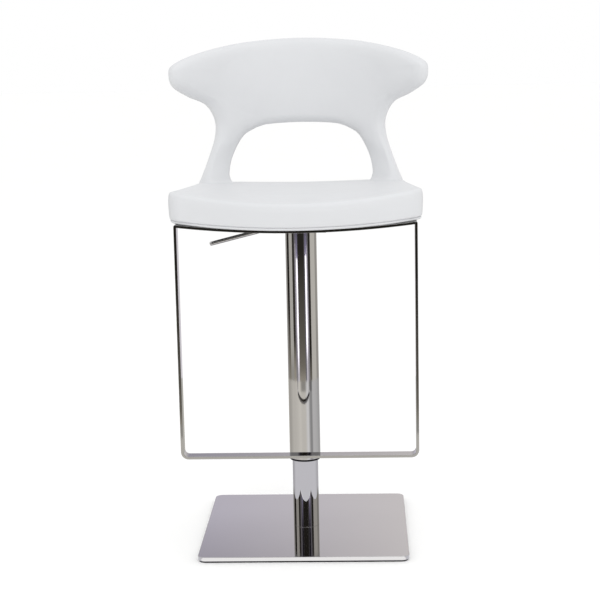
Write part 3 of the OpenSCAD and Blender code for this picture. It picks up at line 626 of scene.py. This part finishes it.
def foot_rings(side):
    """A leg's foot: a fillet on the seat, widest towards the opening, that runs up into the plain rings."""
    end, start = (0.0, FOOT_START) if side > 0 else (2.0 * LAST, 2 * LAST - FOOT_START)
    low, high = np.array(back_section(end)), np.array(back_section(start))
    def leg(z):
        return low + (high - low) * ((z - low[:, 2]) / (high[:, 2] - low[:, 2]))[:, None]
    step = np.roll(low, -1, 0) - np.roll(low, 1, 0)
    out = np.stack([step[:, 1], -step[:, 0]], 1)
    out /= np.linalg.norm(out, axis=1)[:, None]
    if ((low[:, :2] - low[:, :2].mean(0)) * out).sum() < 0:
        out = -out
    inward = np.clip(-side * out[:, 0] + 0.25, 0, 1)
    room = np.array([max(LEAST_FILLET, min(FOOT_FILLET, edge_distance(*p[:2]) - 1.0)) for p in low])
    room *= OUTER_FILLET + (1 - OUTER_FILLET) * inward * inward * (3 - 2 * inward)
    def ring(share, rise):
        base = leg(low[:, 2])
        for _ in range(3):
            z = np.array([seat_surface(*p[:2]) for p in base]) + rise
            base = leg(z)
        spread = base[:, :2] + out * (room * share)[:, None]
        return [(p[0], p[1], seat_surface(*p) + rise) for p in spread]
    rings = [ring(*inside) for inside in INSIDE_SEAT]
    rings += [ring(1 - sin(a), FOOT_FILLET * (1 - cos(a)) - 0.1) for a in np.linspace(0, pi / 2, 8)]
    top = np.array(rings[-1])
    rings += [[tuple(p) for p in top * (1 - s) + high * s] for s in (0.25, 0.5, 0.75)]
    return rings


AVERAGE_ROUNDS, EVEN_ROUNDS, EVEN_PACE = 400, 1600, 0.8


def even_grid(p):
    """Spreads the inner points of a flat grid evenly between its edges, without crowding or folds."""
    for _ in range(AVERAGE_ROUNDS):
        p[1:-1, 1:-1] = (p[:-2, 1:-1] + p[2:, 1:-1] + p[1:-1, :-2] + p[1:-1, 2:]) / 4
    for _ in range(EVEN_ROUNDS):
        north, south, east, west = p[2:, 1:-1], p[:-2, 1:-1], p[1:-1, 2:], p[1:-1, :-2]
        down, over = (north - south) / 2, (east - west) / 2
        a, c = (over ** 2).sum(2)[..., None], (down ** 2).sum(2)[..., None]
        b = (down * over).sum(2)[..., None]
        mixed = (p[2:, 2:] - p[2:, :-2] - p[:-2, 2:] + p[:-2, :-2]) / 4
        goal = (a * (north + south) + c * (east + west) - 2 * b * mixed) / (2 * (a + c))
        p[1:-1, 1:-1] += EVEN_PACE * (goal - p[1:-1, 1:-1])


def back_cover():
    """The whole arch. The places on its faces are evened out, so that they nowhere crowd or fold."""
    ts = np.linspace(FOOT_START, 2 * LAST - FOOT_START, BACK_RINGS)
    places = np.array([face_line(t) for t in ts])
    even_grid(places)
    rings = foot_rings(1) + [back_section(t, line) for t, line in zip(ts, places)] + foot_rings(-1)[::-1]
    return loft([[tuple(p) for p in ring] for ring in rings])


back = add_piece("backrest_cover", *back_cover(), finishes["white_leatherette"], sharp=60)

# ---- Padding: cloth blown up over each form

CLOTH_FRAMES, PRESSURE, QUALITY, SMOOTHINGS = 20, 4, 5, 6
PULL_IN = 0.3
POCKET_TOP, POCKET_EDGE, TOP_DEEP = 20, 3, 4
# From held to free: above the seat's seam, in from its top edge, down its side, round the feet, up the legs.
# Under POCKET_TOP and further in than POCKET_EDGE lies the pocket, and above TOP_DEEP the seat's top.
SEAM_FREE, TOP_FREE, SIDE_FREE, FEET_FREE, LEGS_FREE = (7, 18), (5, 34), (8, 16), (6, 40), (14, 66)


def ease(v, low, high):
    """A soft step from 0 at low to 1 at high."""
    t = min(1.0, max(0.0, (v - low) / (high - low)))
    return t * t * (3 - 2 * t)


FEET = np.array([p[:2] for end in (0.0, 2.0 * LAST) for p in back_section(end)])


def seat_free(x, y, z):
    """How freely the seat's cover moves: held at its seams, in the pocket and under the backrest's feet."""
    up, deep, drop = z - under_z(x), edge_distance(x, y), top_edge_z(x, y) - z
    if up < POCKET_TOP and deep > POCKET_EDGE:
        return 0.0
    edge = ease(deep, *TOP_FREE) if drop < TOP_DEEP and deep > 0 else ease(drop, *SIDE_FREE)
    return ease(up, *SEAM_FREE) * edge * ease(float(np.hypot(*(FEET - (x, y)).T).min()), *FEET_FREE)


def back_free(x, y, z):
    """How freely the backrest's cover moves: held at its feet, and more and more freely up the legs."""
    return ease(z, *(FOOT_Z + up for up in LEGS_FREE))


def swell(obj, free, voxel, cap):
    """Blows up a cover: cloth under pressure moves a coarse copy, and the piece's own points follow it.

    They follow along their normals, softly capped, and draw in by PULL_IN at most, so the piece keeps its size.
    """
    coarse = placed(obj.name + "_coarse", obj.data.copy())
    remesh = coarse.modifiers.new("voxels", "REMESH")
    remesh.mode = "VOXEL"
    remesh.voxel_size = voxel * MM
    shape = bpy.data.meshes.new_from_object(evaluated(coarse))
    coarse.modifiers.clear()
    coarse.data = shape
    rest = np.array([v.co for v in shape.vertices])
    held = coarse.vertex_groups.new(name="held")
    for k, v in enumerate(rest / MM):
        held.add([k], 1 - free(*v), "REPLACE")
    blown = coarse.modifiers.new("cloth", "CLOTH")
    blown.point_cache.frame_start, blown.point_cache.frame_end = 1, CLOTH_FRAMES
    blown.collision_settings.use_collision = False
    how = blown.settings
    how.quality, how.use_pressure, how.uniform_pressure_force = QUALITY, True, PRESSURE
    how.vertex_group_mass, how.effector_weights.gravity = "held", 0
    for frame_no in range(1, CLOTH_FRAMES + 1):
        scene.frame_set(frame_no)
    push = np.array([v.co for v in evaluated(coarse).data.vertices]) - rest
    faces = [tuple(f.vertices) for f in shape.polygons]
    tree = BVHTree.FromPolygons(rest.tolist(), faces)
    own = obj.data
    spots, normals = np.array([v.co for v in own.vertices]), np.array([v.normal for v in own.vertices])
    move = np.zeros(len(spots))
    for k, (spot, normal) in enumerate(zip(spots, normals)):
        ids = list(faces[tree.find_nearest(spot)[2]])
        near = 1 / (np.linalg.norm(rest[ids] - spot, axis=1) + 1e-5)
        move[k] = (push[ids] @ normal) @ near / near.sum()
    move = np.maximum(cap * MM * np.tanh(move / (cap * MM)), -PULL_IN * MM)
    ends = np.array([e.vertices for e in own.edges])
    count = np.bincount(ends.ravel(), minlength=len(spots))
    for _ in range(SMOOTHINGS):
        total = np.zeros(len(spots))
        np.add.at(total, ends[:, 0], move[ends[:, 1]])
        np.add.at(total, ends[:, 1], move[ends[:, 0]])
        move = (move + total / count) / 2
    move *= np.array([free(*v) for v in spots / MM])
    for v, shift, normal in zip(own.vertices, move, normals):
        v.co += Vector(normal * shift)
    own.update()
    bpy.data.objects.remove(coarse)
    scene.frame_set(1)


swell(seat, seat_free, 6.0, 2.0)
swell(back, back_free, 5.0, 1.4)
for piece, stands_for, fill in ((seat, "seat_cushion", 0.95), (back, "backrest", 0.9)):
    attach(piece, "seat")
    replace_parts(piece, stands_for)

# ---- Bright steel

# A darker copy of the mirror steel for the footrest bar: its lower colour paints shade on the bar.
SHADED_BAR_CHROME = mirror("shaded_bar_steel", (0.450, 0.446, 0.446))
PAD_THICK, PLATE_THICK, BASE_HALF, BASE_R = 3.0, 8.0, 200.0, 15.0
PLATE_TOP = PAD_THICK + PLATE_THICK
BASE_CORNER_STEPS = 10
COLUMN_TUBE = (25.5, 23.5, PLATE_TOP, 455, 0.5)
SLEEVE_TUBE = (30.5, 29.0, 151, 605, 0.6)
BUSH_LINE = [(25.55, 147.5), (30.3, 147.5), (30.3, 151), (28.98, 151), (28.98, 175), (25.55, 175)]
BUSH_SOFT = [0.5, 0.7, 0.2, 0, 0.8, 0.5]


def slab(half, r, low, high, soft, hole):
    """A square plate with rounded corners and softened edges, open round the axis."""
    quarter = np.linspace(0, pi / 2, 5)
    profile = [(soft * (1 - sin(a)), low + soft * (1 - cos(a))) for a in quarter]
    profile += [(soft * (1 - cos(a)), high - soft * (1 - sin(a))) for a in quarter]
    rings = [[(x, y, z) for x, y in rounded_rect(half - d, half - d, r - d, BASE_CORNER_STEPS)]
             for d, z in profile]
    def hub(ring, z):
        azs = [atan2(y, x) for x, y, _ in ring]
        return [(hole * cos(a), hole * sin(a), z) for a in azs]
    return loft([hub(rings[0], low)] + rings + [hub(rings[-1], high)], wrap=True)


def hard_piece(name, shape, body, slot, node):
    """A hard piece in its slot's finish, which stands for a solid."""
    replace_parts(firm(add_piece(name, *shape, finishes[slot], body, slot)), node)


plate = slab(BASE_HALF, BASE_R, PAD_THICK, PLATE_TOP, 0.7, 9.0)
pad = slab(BASE_HALF - 2, BASE_R - 1, 0.0, PAD_THICK - 0.05, 0.3, 1.0)
bush = lathe(round_corners(BUSH_LINE, BUSH_SOFT, 3), TUBE_SIDES)
hard_piece("plate", plate, "base", "mirror_steel", "base_plate")
hard_piece("pad", pad, "base", "pad_rubber", "floor_pad")
hard_piece("lower_column", round_tube(*COLUMN_TUBE), "base", "mirror_steel", "column_tube")
hard_piece("upper_column", round_tube(*SLEEVE_TUBE), "seat", "mirror_steel", "outer_tube")
hard_piece("lower_bush", bush, "seat", "black_nylon", "end_bush")

# Footrest: a flat bar bent into a loop under the seat's front
LOOP_HALF, LOOP_LOW, LOOP_T, LOOP_DEPTH, LOOP_FRONT = 217.4, 217.0, 5.0, 25.0, 252.0
LOOP_CORNER, LOOP_TOP_CORNER, BEND_ROOM = 14.0, 3.4, 1.15
LOOP_TOP_R, LOOP_TOP_STEPS = 1767.3, 61


def loop_path():
    """The middle line of the flat bar in the front view, as [x, z], closed."""
    side = LOOP_HALF - LOOP_T / 2
    mid_r = LOOP_TOP_R + LOOP_T / 2
    def arc_z(x):
        return UNDER_Z + UNDER_R - sqrt(mid_r ** 2 - x * x)
    bend = LOOP_TOP_CORNER - LOOP_T / 2
    reach = side - bend * BEND_ROOM
    low_z, corner_z = LOOP_LOW + LOOP_T / 2, arc_z(side)
    top = [(x, arc_z(x)) for x in np.linspace(reach, -reach, LOOP_TOP_STEPS)]
    pts = [(-side, low_z), (side, low_z), (side, corner_z)] + top + [(-side, corner_z)]
    radii = [LOOP_CORNER - LOOP_T / 2] * 2 + [bend] + [0] * len(top) + [bend]
    return round_corners(pts, radii, 8)


def flat_bar(path, half_t, front, depth, soft):
    """A closed bar of rectangular section along a path in the front view."""
    pts = np.array(path)
    step = np.roll(pts, -1, 0) - np.roll(pts, 1, 0)
    side = np.stack([step[:, 1], -step[:, 0]], 1)
    side /= np.linalg.norm(side, axis=1)[:, None]
    section = rounded_rect(half_t, depth / 2, soft, 4)
    rings = [[(p[0] + a * n[0], front + depth / 2 + b, p[1] + a * n[1]) for a, b in section]
             for p, n in zip(pts, side)]
    return loft(rings, wrap=True)


SCREW_SIDES = 48
KEY_R, KEY_DEPTH, KEY_LEAD, SHANK_R = 1.9, 1.8, 0.2, 3.0


def level_ring(r, z, corners=0):
    """A level ring. With six corners it is the hexagon of a key socket, r from its middle to a flat."""
    part = pi / corners if corners else 0
    ring = []
    for k in range(SCREW_SIDES):
        a = 2 * pi * k / SCREW_SIDES
        far = r / cos((a + part) % (2 * part) - part) if corners else r
        ring.append((far * cos(a), far * sin(a), z))
    return ring


def socket_screw(head, reach):
    """A screw with a hexagon socket that points up from z = 0. head is its line as (radius, z)."""
    key = [(KEY_R, KEY_DEPTH), (KEY_R, KEY_LEAD), (KEY_R + KEY_LEAD, 0)]
    line = head + [(SHANK_R, head[-1][1]), (SHANK_R, reach)]
    return loft([level_ring(r, z, 6) for r, z in key] + [level_ring(r, z) for r, z in line])


def repeated(shape, places):
    """Copies of one shape at several places, as one mesh."""
    verts, faces = [], []
    for place in places:
        first = len(verts)
        verts += [tuple(place @ Vector(v)) for v in shape[0]]
        faces += [tuple(first + k for k in f) for f in shape[1]]
    return verts, faces


def on_underside(x, y, down=0.0):
    """A place on the seat's curved underside, with Z square to it."""
    return (Matrix.Translation((x, y, under_z(x))) @ Matrix.Rotation(-asin(x / UNDER_R), 4, "Y")
            @ Matrix.Translation((0, 0, -down)))


LOOP_GAP, HEAD_R, SCREW_UP = 0.3, 5.5, 0.1
SCREW_X, SCREW_Y = (-165.9, -65.9, 65.9, 165.9), -239.5
SUNK_HEAD = [(HEAD_R - 0.25, 0.0), (HEAD_R, 0.25), (HEAD_R, 0.6), (SHANK_R, 3.1)]
SINK_LINE = [(HEAD_R + 0.4, -1.0), (HEAD_R + 0.4, 0.6), (3.3, 3.4), (3.3, LOOP_T + 1.0)]
rest_places = [on_underside(x, SCREW_Y, LOOP_GAP + LOOP_T) for x in SCREW_X]
screw_places = [place @ Matrix.Translation((0, 0, SCREW_UP)) for place in rest_places]
hard_piece("footrest_bolts", repeated(socket_screw(SUNK_HEAD, 16.0), screw_places), "seat", "dark_steel",
           "footrest_screws")

rest = add_piece("footrest_bar", *flat_bar(loop_path(), LOOP_T / 2, -LOOP_FRONT, LOOP_DEPTH, 0.4), SHADED_BAR_CHROME)
sink = loft([level_ring(r, z) for r, z in SINK_LINE])
drill = add_piece("drill", *repeated(sink, rest_places), SHADED_BAR_CHROME)
cut = rest.modifiers.new("holes", "BOOLEAN")
cut.object, cut.solver = drill, "EXACT"
drilled = bpy.data.meshes.new_from_object(evaluated(rest))
rest.modifiers.clear()
rest.data = drilled
bpy.data.objects.remove(drill)
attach(firm(rest), "seat")
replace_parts(rest, "footrest_loop")

BUTTON_HEAD = [(3.4, 0.0), (4.3, 0.35), (5.0, 1.0), (5.4, 1.9), (HEAD_R, 2.8), (HEAD_R, 3.5)]
BOLT_X, BOLT_Y, BOLT_Z = 67, 32, 629.5
bolt_places = [Matrix.Translation((x, y, BOLT_Z)) for x in (-BOLT_X, BOLT_X) for y in (-BOLT_Y, BOLT_Y)]
hard_piece("housing_bolts", repeated(socket_screw(BUTTON_HEAD, 16.5), bolt_places), "seat", "dark_steel",
           "housing_screws")

# Folded and cut parts show a small soft edge
SOFT_EDGES = (("mechanism_housing", 0.9), ("lever_bracket", 0.4), ("lever_tongue", 0.4), ("taper_hub", 0.5),
              ("seat_board", 0.8))
EDGE_STEPS, EDGE_ANGLE, WELD_WITHIN = 3, radians(40), 0.00001
for name, width in SOFT_EDGES:
    node = frame["nodes"][name]
    weld = node.modifiers.new("weld", "WELD")
    weld.merge_threshold = WELD_WITHIN
    bevel = node.modifiers.new("edges", "BEVEL")
    bevel.limit_method, bevel.angle_limit = "ANGLE", EDGE_ANGLE
    bevel.width, bevel.segments, bevel.harden_normals = width * MM, EDGE_STEPS, True

# Dust cover: black non-woven cloth, hemmed and stapled under the board, held at the front by the footrest's bar
CLOTH_T, HEM_IN, HEM_OUT, CUT_X, CUT_Y = 0.45, 19.0, 10.6, 86.5, 50.5
SHEET_CELL, SHEET_SAG, CELL_ROOM = 12.0, 1.5, 4
# From flat to fully sagged: in from the hem, away from the cut-out, back from the footrest's bar
HEM_FLAT, CUT_FLAT, FRONT_FLAT = (14, 60), (0, 40), (-222, -170)
HEM_SECTION = ((HEM_OUT - 0.1, 0.1), (HEM_IN - 0.6, 0.04), (HEM_IN, 0.2), (HEM_IN, 0.46), (HEM_OUT - 0.1, 0.46))
STAPLE_LINE = [(-5, 0.6), (-5, -0.35), (5, -0.35), (5, 0.6)]
STAPLE_IN, STAPLE_GAP, STAPLE_FRONT = 14.8, 34, -215


def beside_cut(x, y):
    """How far a place lies outside the cut-out for the housing."""
    return max(abs(x) - CUT_X, abs(y) - CUT_Y)


def sheet_sag(x, y):
    return (SHEET_SAG * ease(edge_distance(x, y), *HEM_FLAT) * ease(beside_cut(x, y), *CUT_FLAT)
            * ease(y, *FRONT_FLAT))


def dust_sheet():
    """The sheet between its outline and its cut-out, in even triangles: both sides and the rims."""
    border = [tuple(p) for p in inset(HEM_OUT)[::3]]
    hole = [(x, -CUT_Y) for x in np.linspace(-CUT_X, CUT_X, 15)[:-1]]
    hole += [(CUT_X, y) for y in np.linspace(-CUT_Y, CUT_Y, 9)[:-1]]
    hole += [(-x, -y) for x, y in hole]
    grid = [(x, y) for x in np.arange(-216, 217, SHEET_CELL) for y in np.arange(-252, 144, SHEET_CELL)
            if edge_distance(x, y) > HEM_OUT + CELL_ROOM and beside_cut(x, y) > CELL_ROOM]
    points = [Vector(p) for p in border + hole + grid]
    b, h = len(border), len(hole)
    edges = [(k, (k + 1) % b) for k in range(b)] + [(b + k, b + (k + 1) % h) for k in range(h)]
    flat, _, tris, *_ = delaunay_2d_cdt(points, edges, [], 0, 1e-4)
    def inside(tri):
        x, y = sum((flat[k] for k in tri), Vector((0, 0))) / 3
        return beside_cut(x, y) > 0 and edge_distance(x, y) > HEM_OUT - 0.4
    tris = [tuple(t) for t in tris if inside(t)]
    ways = {(t[k], t[(k + 1) % 3]): None for t in tris for k in range(3)}
    rim = [(a, c) for a, c in ways if (c, a) not in ways]
    low = [(p.x, p.y, under_z(p.x, 0.5) - sheet_sag(p.x, p.y)) for p in flat]
    high = [(x, y, z + CLOTH_T) for x, y, z in low]
    n = len(low)
    faces = [t[::-1] for t in tris] + [tuple(n + k for k in t) for t in tris]
    return low + high, faces + [(a, c, n + c, n + a) for a, c in rim]


dust = add_piece("dust_sheet", *dust_sheet(), finishes["black_cloth"], "seat", "black_cloth", 50)
hem_lines = [[(x, y, under_z(x, up)) for x, y in inset(d)] for d, up in HEM_SECTION]
hem = add_piece("dust_hem", *loft(hem_lines, wrap=True), finishes["black_cloth"], "seat", "black_cloth", 50)
staple = flat_bar(STAPLE_LINE, 0.25, -0.45, 0.9, 0.1)
staple_places = [on_underside(p[0], p[1], 0.02) @ Matrix.Rotation(atan2(n[1], n[0]) + pi / 2, 4, "Z")
                 for p, n in zip(inset(STAPLE_IN)[::STAPLE_GAP], out_dir[::STAPLE_GAP]) if p[1] > STAPLE_FRONT]
staples = add_piece("dust_staples", *repeated(staple, staple_places), finishes["bright_steel"], "seat",
                    "bright_steel")


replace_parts(dust, "dust_cover")

# Lever: a round rod with a rounded end, down and out from under the seat on the sitter's right
PIVOT_X, PIVOT_Z, LEVER_D, LEVER_SLOPE = 38.0, 614.878, 8.5, radians(13.7)
JOINT_X, LEVER_REACH, TIP_R, ROD_SOFT = 55.0, 178.0, 2.4, 0.4
rod_from = (JOINT_X - PIVOT_X) / cos(LEVER_SLOPE)
rod_end = rod_from + (LEVER_REACH - JOINT_X) / cos(LEVER_SLOPE)
rod_line = [(LEVER_D / 2 - ROD_SOFT, rod_from), (LEVER_D / 2, rod_from + ROD_SOFT)]
rod_line += [(LEVER_D / 2 - TIP_R + TIP_R * cos(a), rod_end - TIP_R + TIP_R * sin(a))
             for a in np.linspace(0, pi / 2, 7)]
turn = Matrix.Translation((-PIVOT_X, 0, PIVOT_Z)) @ Matrix.Rotation(-pi / 2 - LEVER_SLOPE, 4, "Y")
rod = repeated(lathe(rod_line, 64, closed=False), [turn])
hard_piece("lever_handle", rod, "lever", "mirror_steel", "lever_rod")

# ---- Floor, light and camera

def pale_floor():
    f = Finish("pale_floor", (0.90, 0.90, 0.895), 0.9, Specular_IOR_Level=0.1, Emission_Color=(1, 1, 1, 1),
               Emission_Strength=0.10)
    f.vary_color(f.noise(3, 2), 0.995, 1.005)
    return f.mat


def stage_mesh(name, verts, faces, material):
    """A piece of the studio, from points in metres."""
    mesh = bpy.data.meshes.new(name)
    mesh.from_pydata(verts, [], faces)
    mesh.materials.append(material)
    obj = placed(name, mesh)
    return obj


def level_rect(x, y_low, y_high, z):
    return [(-x, y_low, z), (x, y_low, z), (x, y_high, z), (-x, y_high, z)], [(0, 1, 2, 3)]


FLOOR_HALF, FLOOR_Z = 30, -0.0002
stage_mesh("floor", *level_rect(FLOOR_HALF, -FLOOR_HALF, FLOOR_HALF, FLOOR_Z), pale_floor())


def glow(name, low, high, heights, beside=None, widths=(0, 1)):
    """Light that changes evenly with height, and from one side to the other where beside is given."""
    g = Graph(name)
    split = g.node("ShaderNodeSeparateXYZ")
    g.link(g.place, split.inputs[0])
    def fade(axis, ends, start, end):
        spread = g.node("ShaderNodeMapRange", From_Min=ends[0], From_Max=ends[1])
        mix = g.node("ShaderNodeMix", data_type="RGBA")
        g.link(split.outputs[axis], spread.inputs["Value"])
        g.link(spread.outputs[0], mix.inputs[0])
        for socket, color in zip([k for k in mix.inputs if k.type == "RGBA"], (start, end)):
            if isinstance(color, tuple):
                socket.default_value = (*color, 1)
            else:
                g.link(color, socket)
        return [k for k in mix.outputs if k.type == "RGBA"][0]
    color = fade("Z", heights, low, high)
    if beside:
        color = fade("X", widths, color, fade("Z", heights, *beside))
    return g.lit(color)


CARD_R, CARD_STEP = 1.40, 4


def only_mirrored(name, verts, faces, material):
    """A piece of the studio that shows in reflections alone."""
    obj = stage_mesh(name, verts, faces, material)
    for kind in ("camera", "diffuse", "shadow", "transmission", "volume_scatter"):
        setattr(obj, "visible_" + kind, False)


def card(name, az_low, az_high, z_low, z_high, material):
    """An upright card on a circle round the column. Bearings run from the camera's side towards +X."""
    steps = max(2, ceil(abs(az_high - az_low) / CARD_STEP))
    azs = [radians(a) for a in np.linspace(az_low, az_high, steps + 1)]
    verts = [(CARD_R * sin(a), -CARD_R * cos(a), z) for z in (z_low, z_high) for a in azs]
    n = len(azs)
    only_mirrored("card_" + name, verts, [(k, k + 1, n + k + 1, n + k) for k in range(n - 1)], material)


def grey(v, tint=(1, 1, 1)):
    return tuple(v * t for t in tint)


VIOLET, WARM, BEIGE, PLAIN = (1.04, 1.0, 1.10), (1.08, 1.0, 0.84), (1.03, 1.0, 0.92), (1, 1, 1)
DEEP, ROSE, COOL = (1.0, 0.92, 1.35), (1.044, 1.0, 1.0), (1.04, 1.0, 1.16)
TOP, MIDDLE = 0.78, 0.56
# Name, bearings, heights, light at the low and at the high end of a fade, tint, heights of the fade
CARDS = [
    ("front_foot", -26, 19, 0.0, 0.04, 0.44, 0.24, WARM, (0.0, 0.04)),
    ("front_low", -26, 19, 0.04, 0.12, 0.24, 0.16, WARM, (0.04, 0.12)),
    ("front", -26, 19, 0.12, TOP, 0.16, 0.03, WARM, (0.12, 0.38)),
    ("strip_left", -26.5, -37, 0.0, 0.358, 0.88, 2.4, VIOLET, (0.025, 0.095)),
    ("strip_right", 28, 39, 0.0, 0.368, 0.84, 2.4, VIOLET, (0.055, 0.115)),
    ("over_left", -26.5, -39.5, 0.358, TOP, 0.44, 0.02, DEEP, (0.362, 0.47)),
    ("over_right", 26, 41, 0.368, TOP, 0.44, 0.02, DEEP, (0.372, 0.47)),
    ("edge_left", -22, -26.5, 0, TOP, 0.50, 0.20, VIOLET, (0, 0.4)),
    ("edge_right", 19, 28, 0, TOP, 0.24, 0.10, VIOLET, (0, 0.4)),
    ("slope_left", -37, -51, 0, TOP, 0.36, 0.24, VIOLET, (0, 0.4)),
    ("slope_right", 39, 51, 0, TOP, 0.46, 0.24, VIOLET, (0, 0.4)),
    ("dark_left", -51, -69, 0, MIDDLE, 0.44, 0.05, WARM, (0.03, 0.12)),
    ("dark_right", 51, 69.5, 0, MIDDLE, 0.22, 0.035, WARM, (0.0, 0.08)),
    ("panel_left", -69, -100, 0, MIDDLE, 0.46, 0.66, BEIGE, (0.03, 0.10)),
    ("panel_right", 69.5, 116, 0, MIDDLE, 0.76, 0.76, BEIGE, (0, 0.4)),
    ("shade_right", 116, 165, 0, MIDDLE, 0.46, 0.46, BEIGE, (0, 0.4)),
    ("line_left", -100, -127, 0, MIDDLE, 0.34, 0.02, WARM, (0.0, 0.20)),
    ("shade_left", -127, -160, 0, MIDDLE, 0.40, 0.46, BEIGE, (0.0, 0.4)),
    ("high_left", -51, -160, MIDDLE, TOP, 0.42, 0.42, PLAIN, (0, 1)),
    ("high_right", 51, 165, MIDDLE, TOP, 0.42, 0.42, PLAIN, (0, 1)),
]
for name, az_low, az_high, z_low, z_high, low, high, tint, heights in CARDS:
    lit = glow("card_" + name, grey(low, tint), grey(high, tint), heights)
    card(name, az_low, az_high, z_low, z_high, lit)
card("back", 165, 200, 0, TOP, glow("card_back", grey(0.66, COOL), grey(0.47, COOL), (0.42, 0.58),
                                      (grey(0.84, ROSE), grey(0.81, ROSE)), (-0.40, 0.27)))


def radial_glow(name, stops):
    """Light that changes with the bearing alone: stops of (bearing, red, green, blue)."""
    g = Graph(name)
    sweep, ramp = g.node("ShaderNodeTexGradient", gradient_type="RADIAL"), g.node("ShaderNodeValToRGB")
    g.link(g.place, sweep.inputs[0])
    g.link(sweep.outputs["Fac"], ramp.inputs[0])
    spots = sorted((((bearing - 90) / 360 + 0.5) % 1.0, color) for bearing, *color in stops)
    while len(ramp.color_ramp.elements) < len(spots):
        ramp.color_ramp.elements.new(0.5)
    for spot, (at, color) in zip(ramp.color_ramp.elements, spots):
        spot.position, spot.color = at, (*color, 1)
    return g.lit(ramp.outputs[0])


# Bands of light on the floor round the stool, which the column's lower part mirrors: bearing, light, tint
LEFT_BANDS = ((-179, 0.55), (-115, 0.57), (-98, 0.72), (-70, 0.78), (-45, 0.84), (-28, 0.92), (-12, 0.84),
              (10, 0.84))
RIGHT_BANDS = ((26, 1.00), (33, 0.98), (42, 0.60), (49, 0.42), (60, 0.42), (68, 0.76), (90, 0.74), (112, 0.68),
               (128, 0.56), (179, 0.55))
FLOOR_BANDS = [(at, v, BEIGE) for at, v in LEFT_BANDS] + [(at, v, PLAIN) for at, v in RIGHT_BANDS]
FAR_BANDS = [(at, 0.42 if -28 < at < 19 else 0.24 if 45 < at < 62 else v, tint) for at, v, tint in FLOOR_BANDS]
NEAR_BANDS = [(at, v, (1.0, 1.0, 1.06)) for at, v in ((-179, 0.55), (-120, 0.62), (-95, 0.90), (95, 0.90),
                                                      (120, 0.70), (179, 0.55))]
RING_R = (0.19, 0.56, 1.27, 1.42)


def floor_ring(name, r_in, r_out, stops):
    """A glowing ring on the floor, seen in mirrors alone."""
    azs = [radians(a) for a in range(0, 360, 6)]
    verts = [(r * sin(a), -r * cos(a), 0.0) for r in (r_in, r_out) for a in azs]
    n = len(azs)
    only_mirrored(name, verts, [(k, (k + 1) % n, n + (k + 1) % n, n + k) for k in range(n)],
                  radial_glow(name, [(at, *grey(v, tint)) for at, v, tint in stops]))


floor_ring("near_ring", *RING_R[:2], NEAR_BANDS)
floor_ring("floor_ring", *RING_R[1:3], FLOOR_BANDS)
floor_ring("far_ring", *RING_R[2:], FAR_BANDS)
# A bright glowing strip on the floor just before the plate, seen in mirrors alone: it paints a highlight along
# the plate's front face.
only_mirrored("plate_highlight_strip", *level_rect(0.21, -0.234, -0.204, 0.0004),
              glow("plate_highlight_strip", grey(1.45), grey(1.45), (-1, 1)))

scene.world = bpy.data.worlds.new("studio")
scene.world.use_nodes = True
sky = scene.world.node_tree.nodes["Background"]
sky.inputs["Color"].default_value = (1.0, 1.0, 1.0, 1)
sky.inputs["Strength"].default_value = 1.0


def lamp(name, place, aim, size, power):
    data = bpy.data.lights.new(name, "AREA")
    data.shape, data.energy = "RECTANGLE", power
    data.size, data.size_y = size
    obj = placed(name, data)
    obj.location = place
    obj.rotation_euler = (Vector(aim) - Vector(place)).to_track_quat("-Z", "Y").to_euler()


lamp("top_light", (0.2, -0.6, 3.2), (0, 0, 0.4), (2.8, 2.8), 10.5)
lamp("key_light", (0.8, -2.9, 2.7), (0, 0, 0.9), (1.8, 1.6), 19)

scene.view_settings.view_transform = "Standard"

CAMERA_AT = Vector((0.1136, -2.9054, 0.9638))
PITCH, ROLL, YAW = radians(9.69), radians(-1.17), radians(2.32)
level = Vector((-sin(YAW), cos(YAW), 0))
ahead = level * cos(PITCH) - Vector((0, 0, sin(PITCH)))
right0 = Vector((cos(YAW), sin(YAW), 0))
up0 = right0.cross(ahead)
right = right0 * cos(ROLL) + up0 * sin(ROLL)
up = up0 * cos(ROLL) - right0 * sin(ROLL)
lens = bpy.data.cameras.new("camera")
lens.sensor_width, lens.lens, lens.clip_end = 36, 90.24, 100
camera = placed("camera", lens)
turned = Matrix((right, up, -ahead)).transposed().to_4x4()
turned.translation = CAMERA_AT
camera.matrix_world = turned
scene.camera = camera
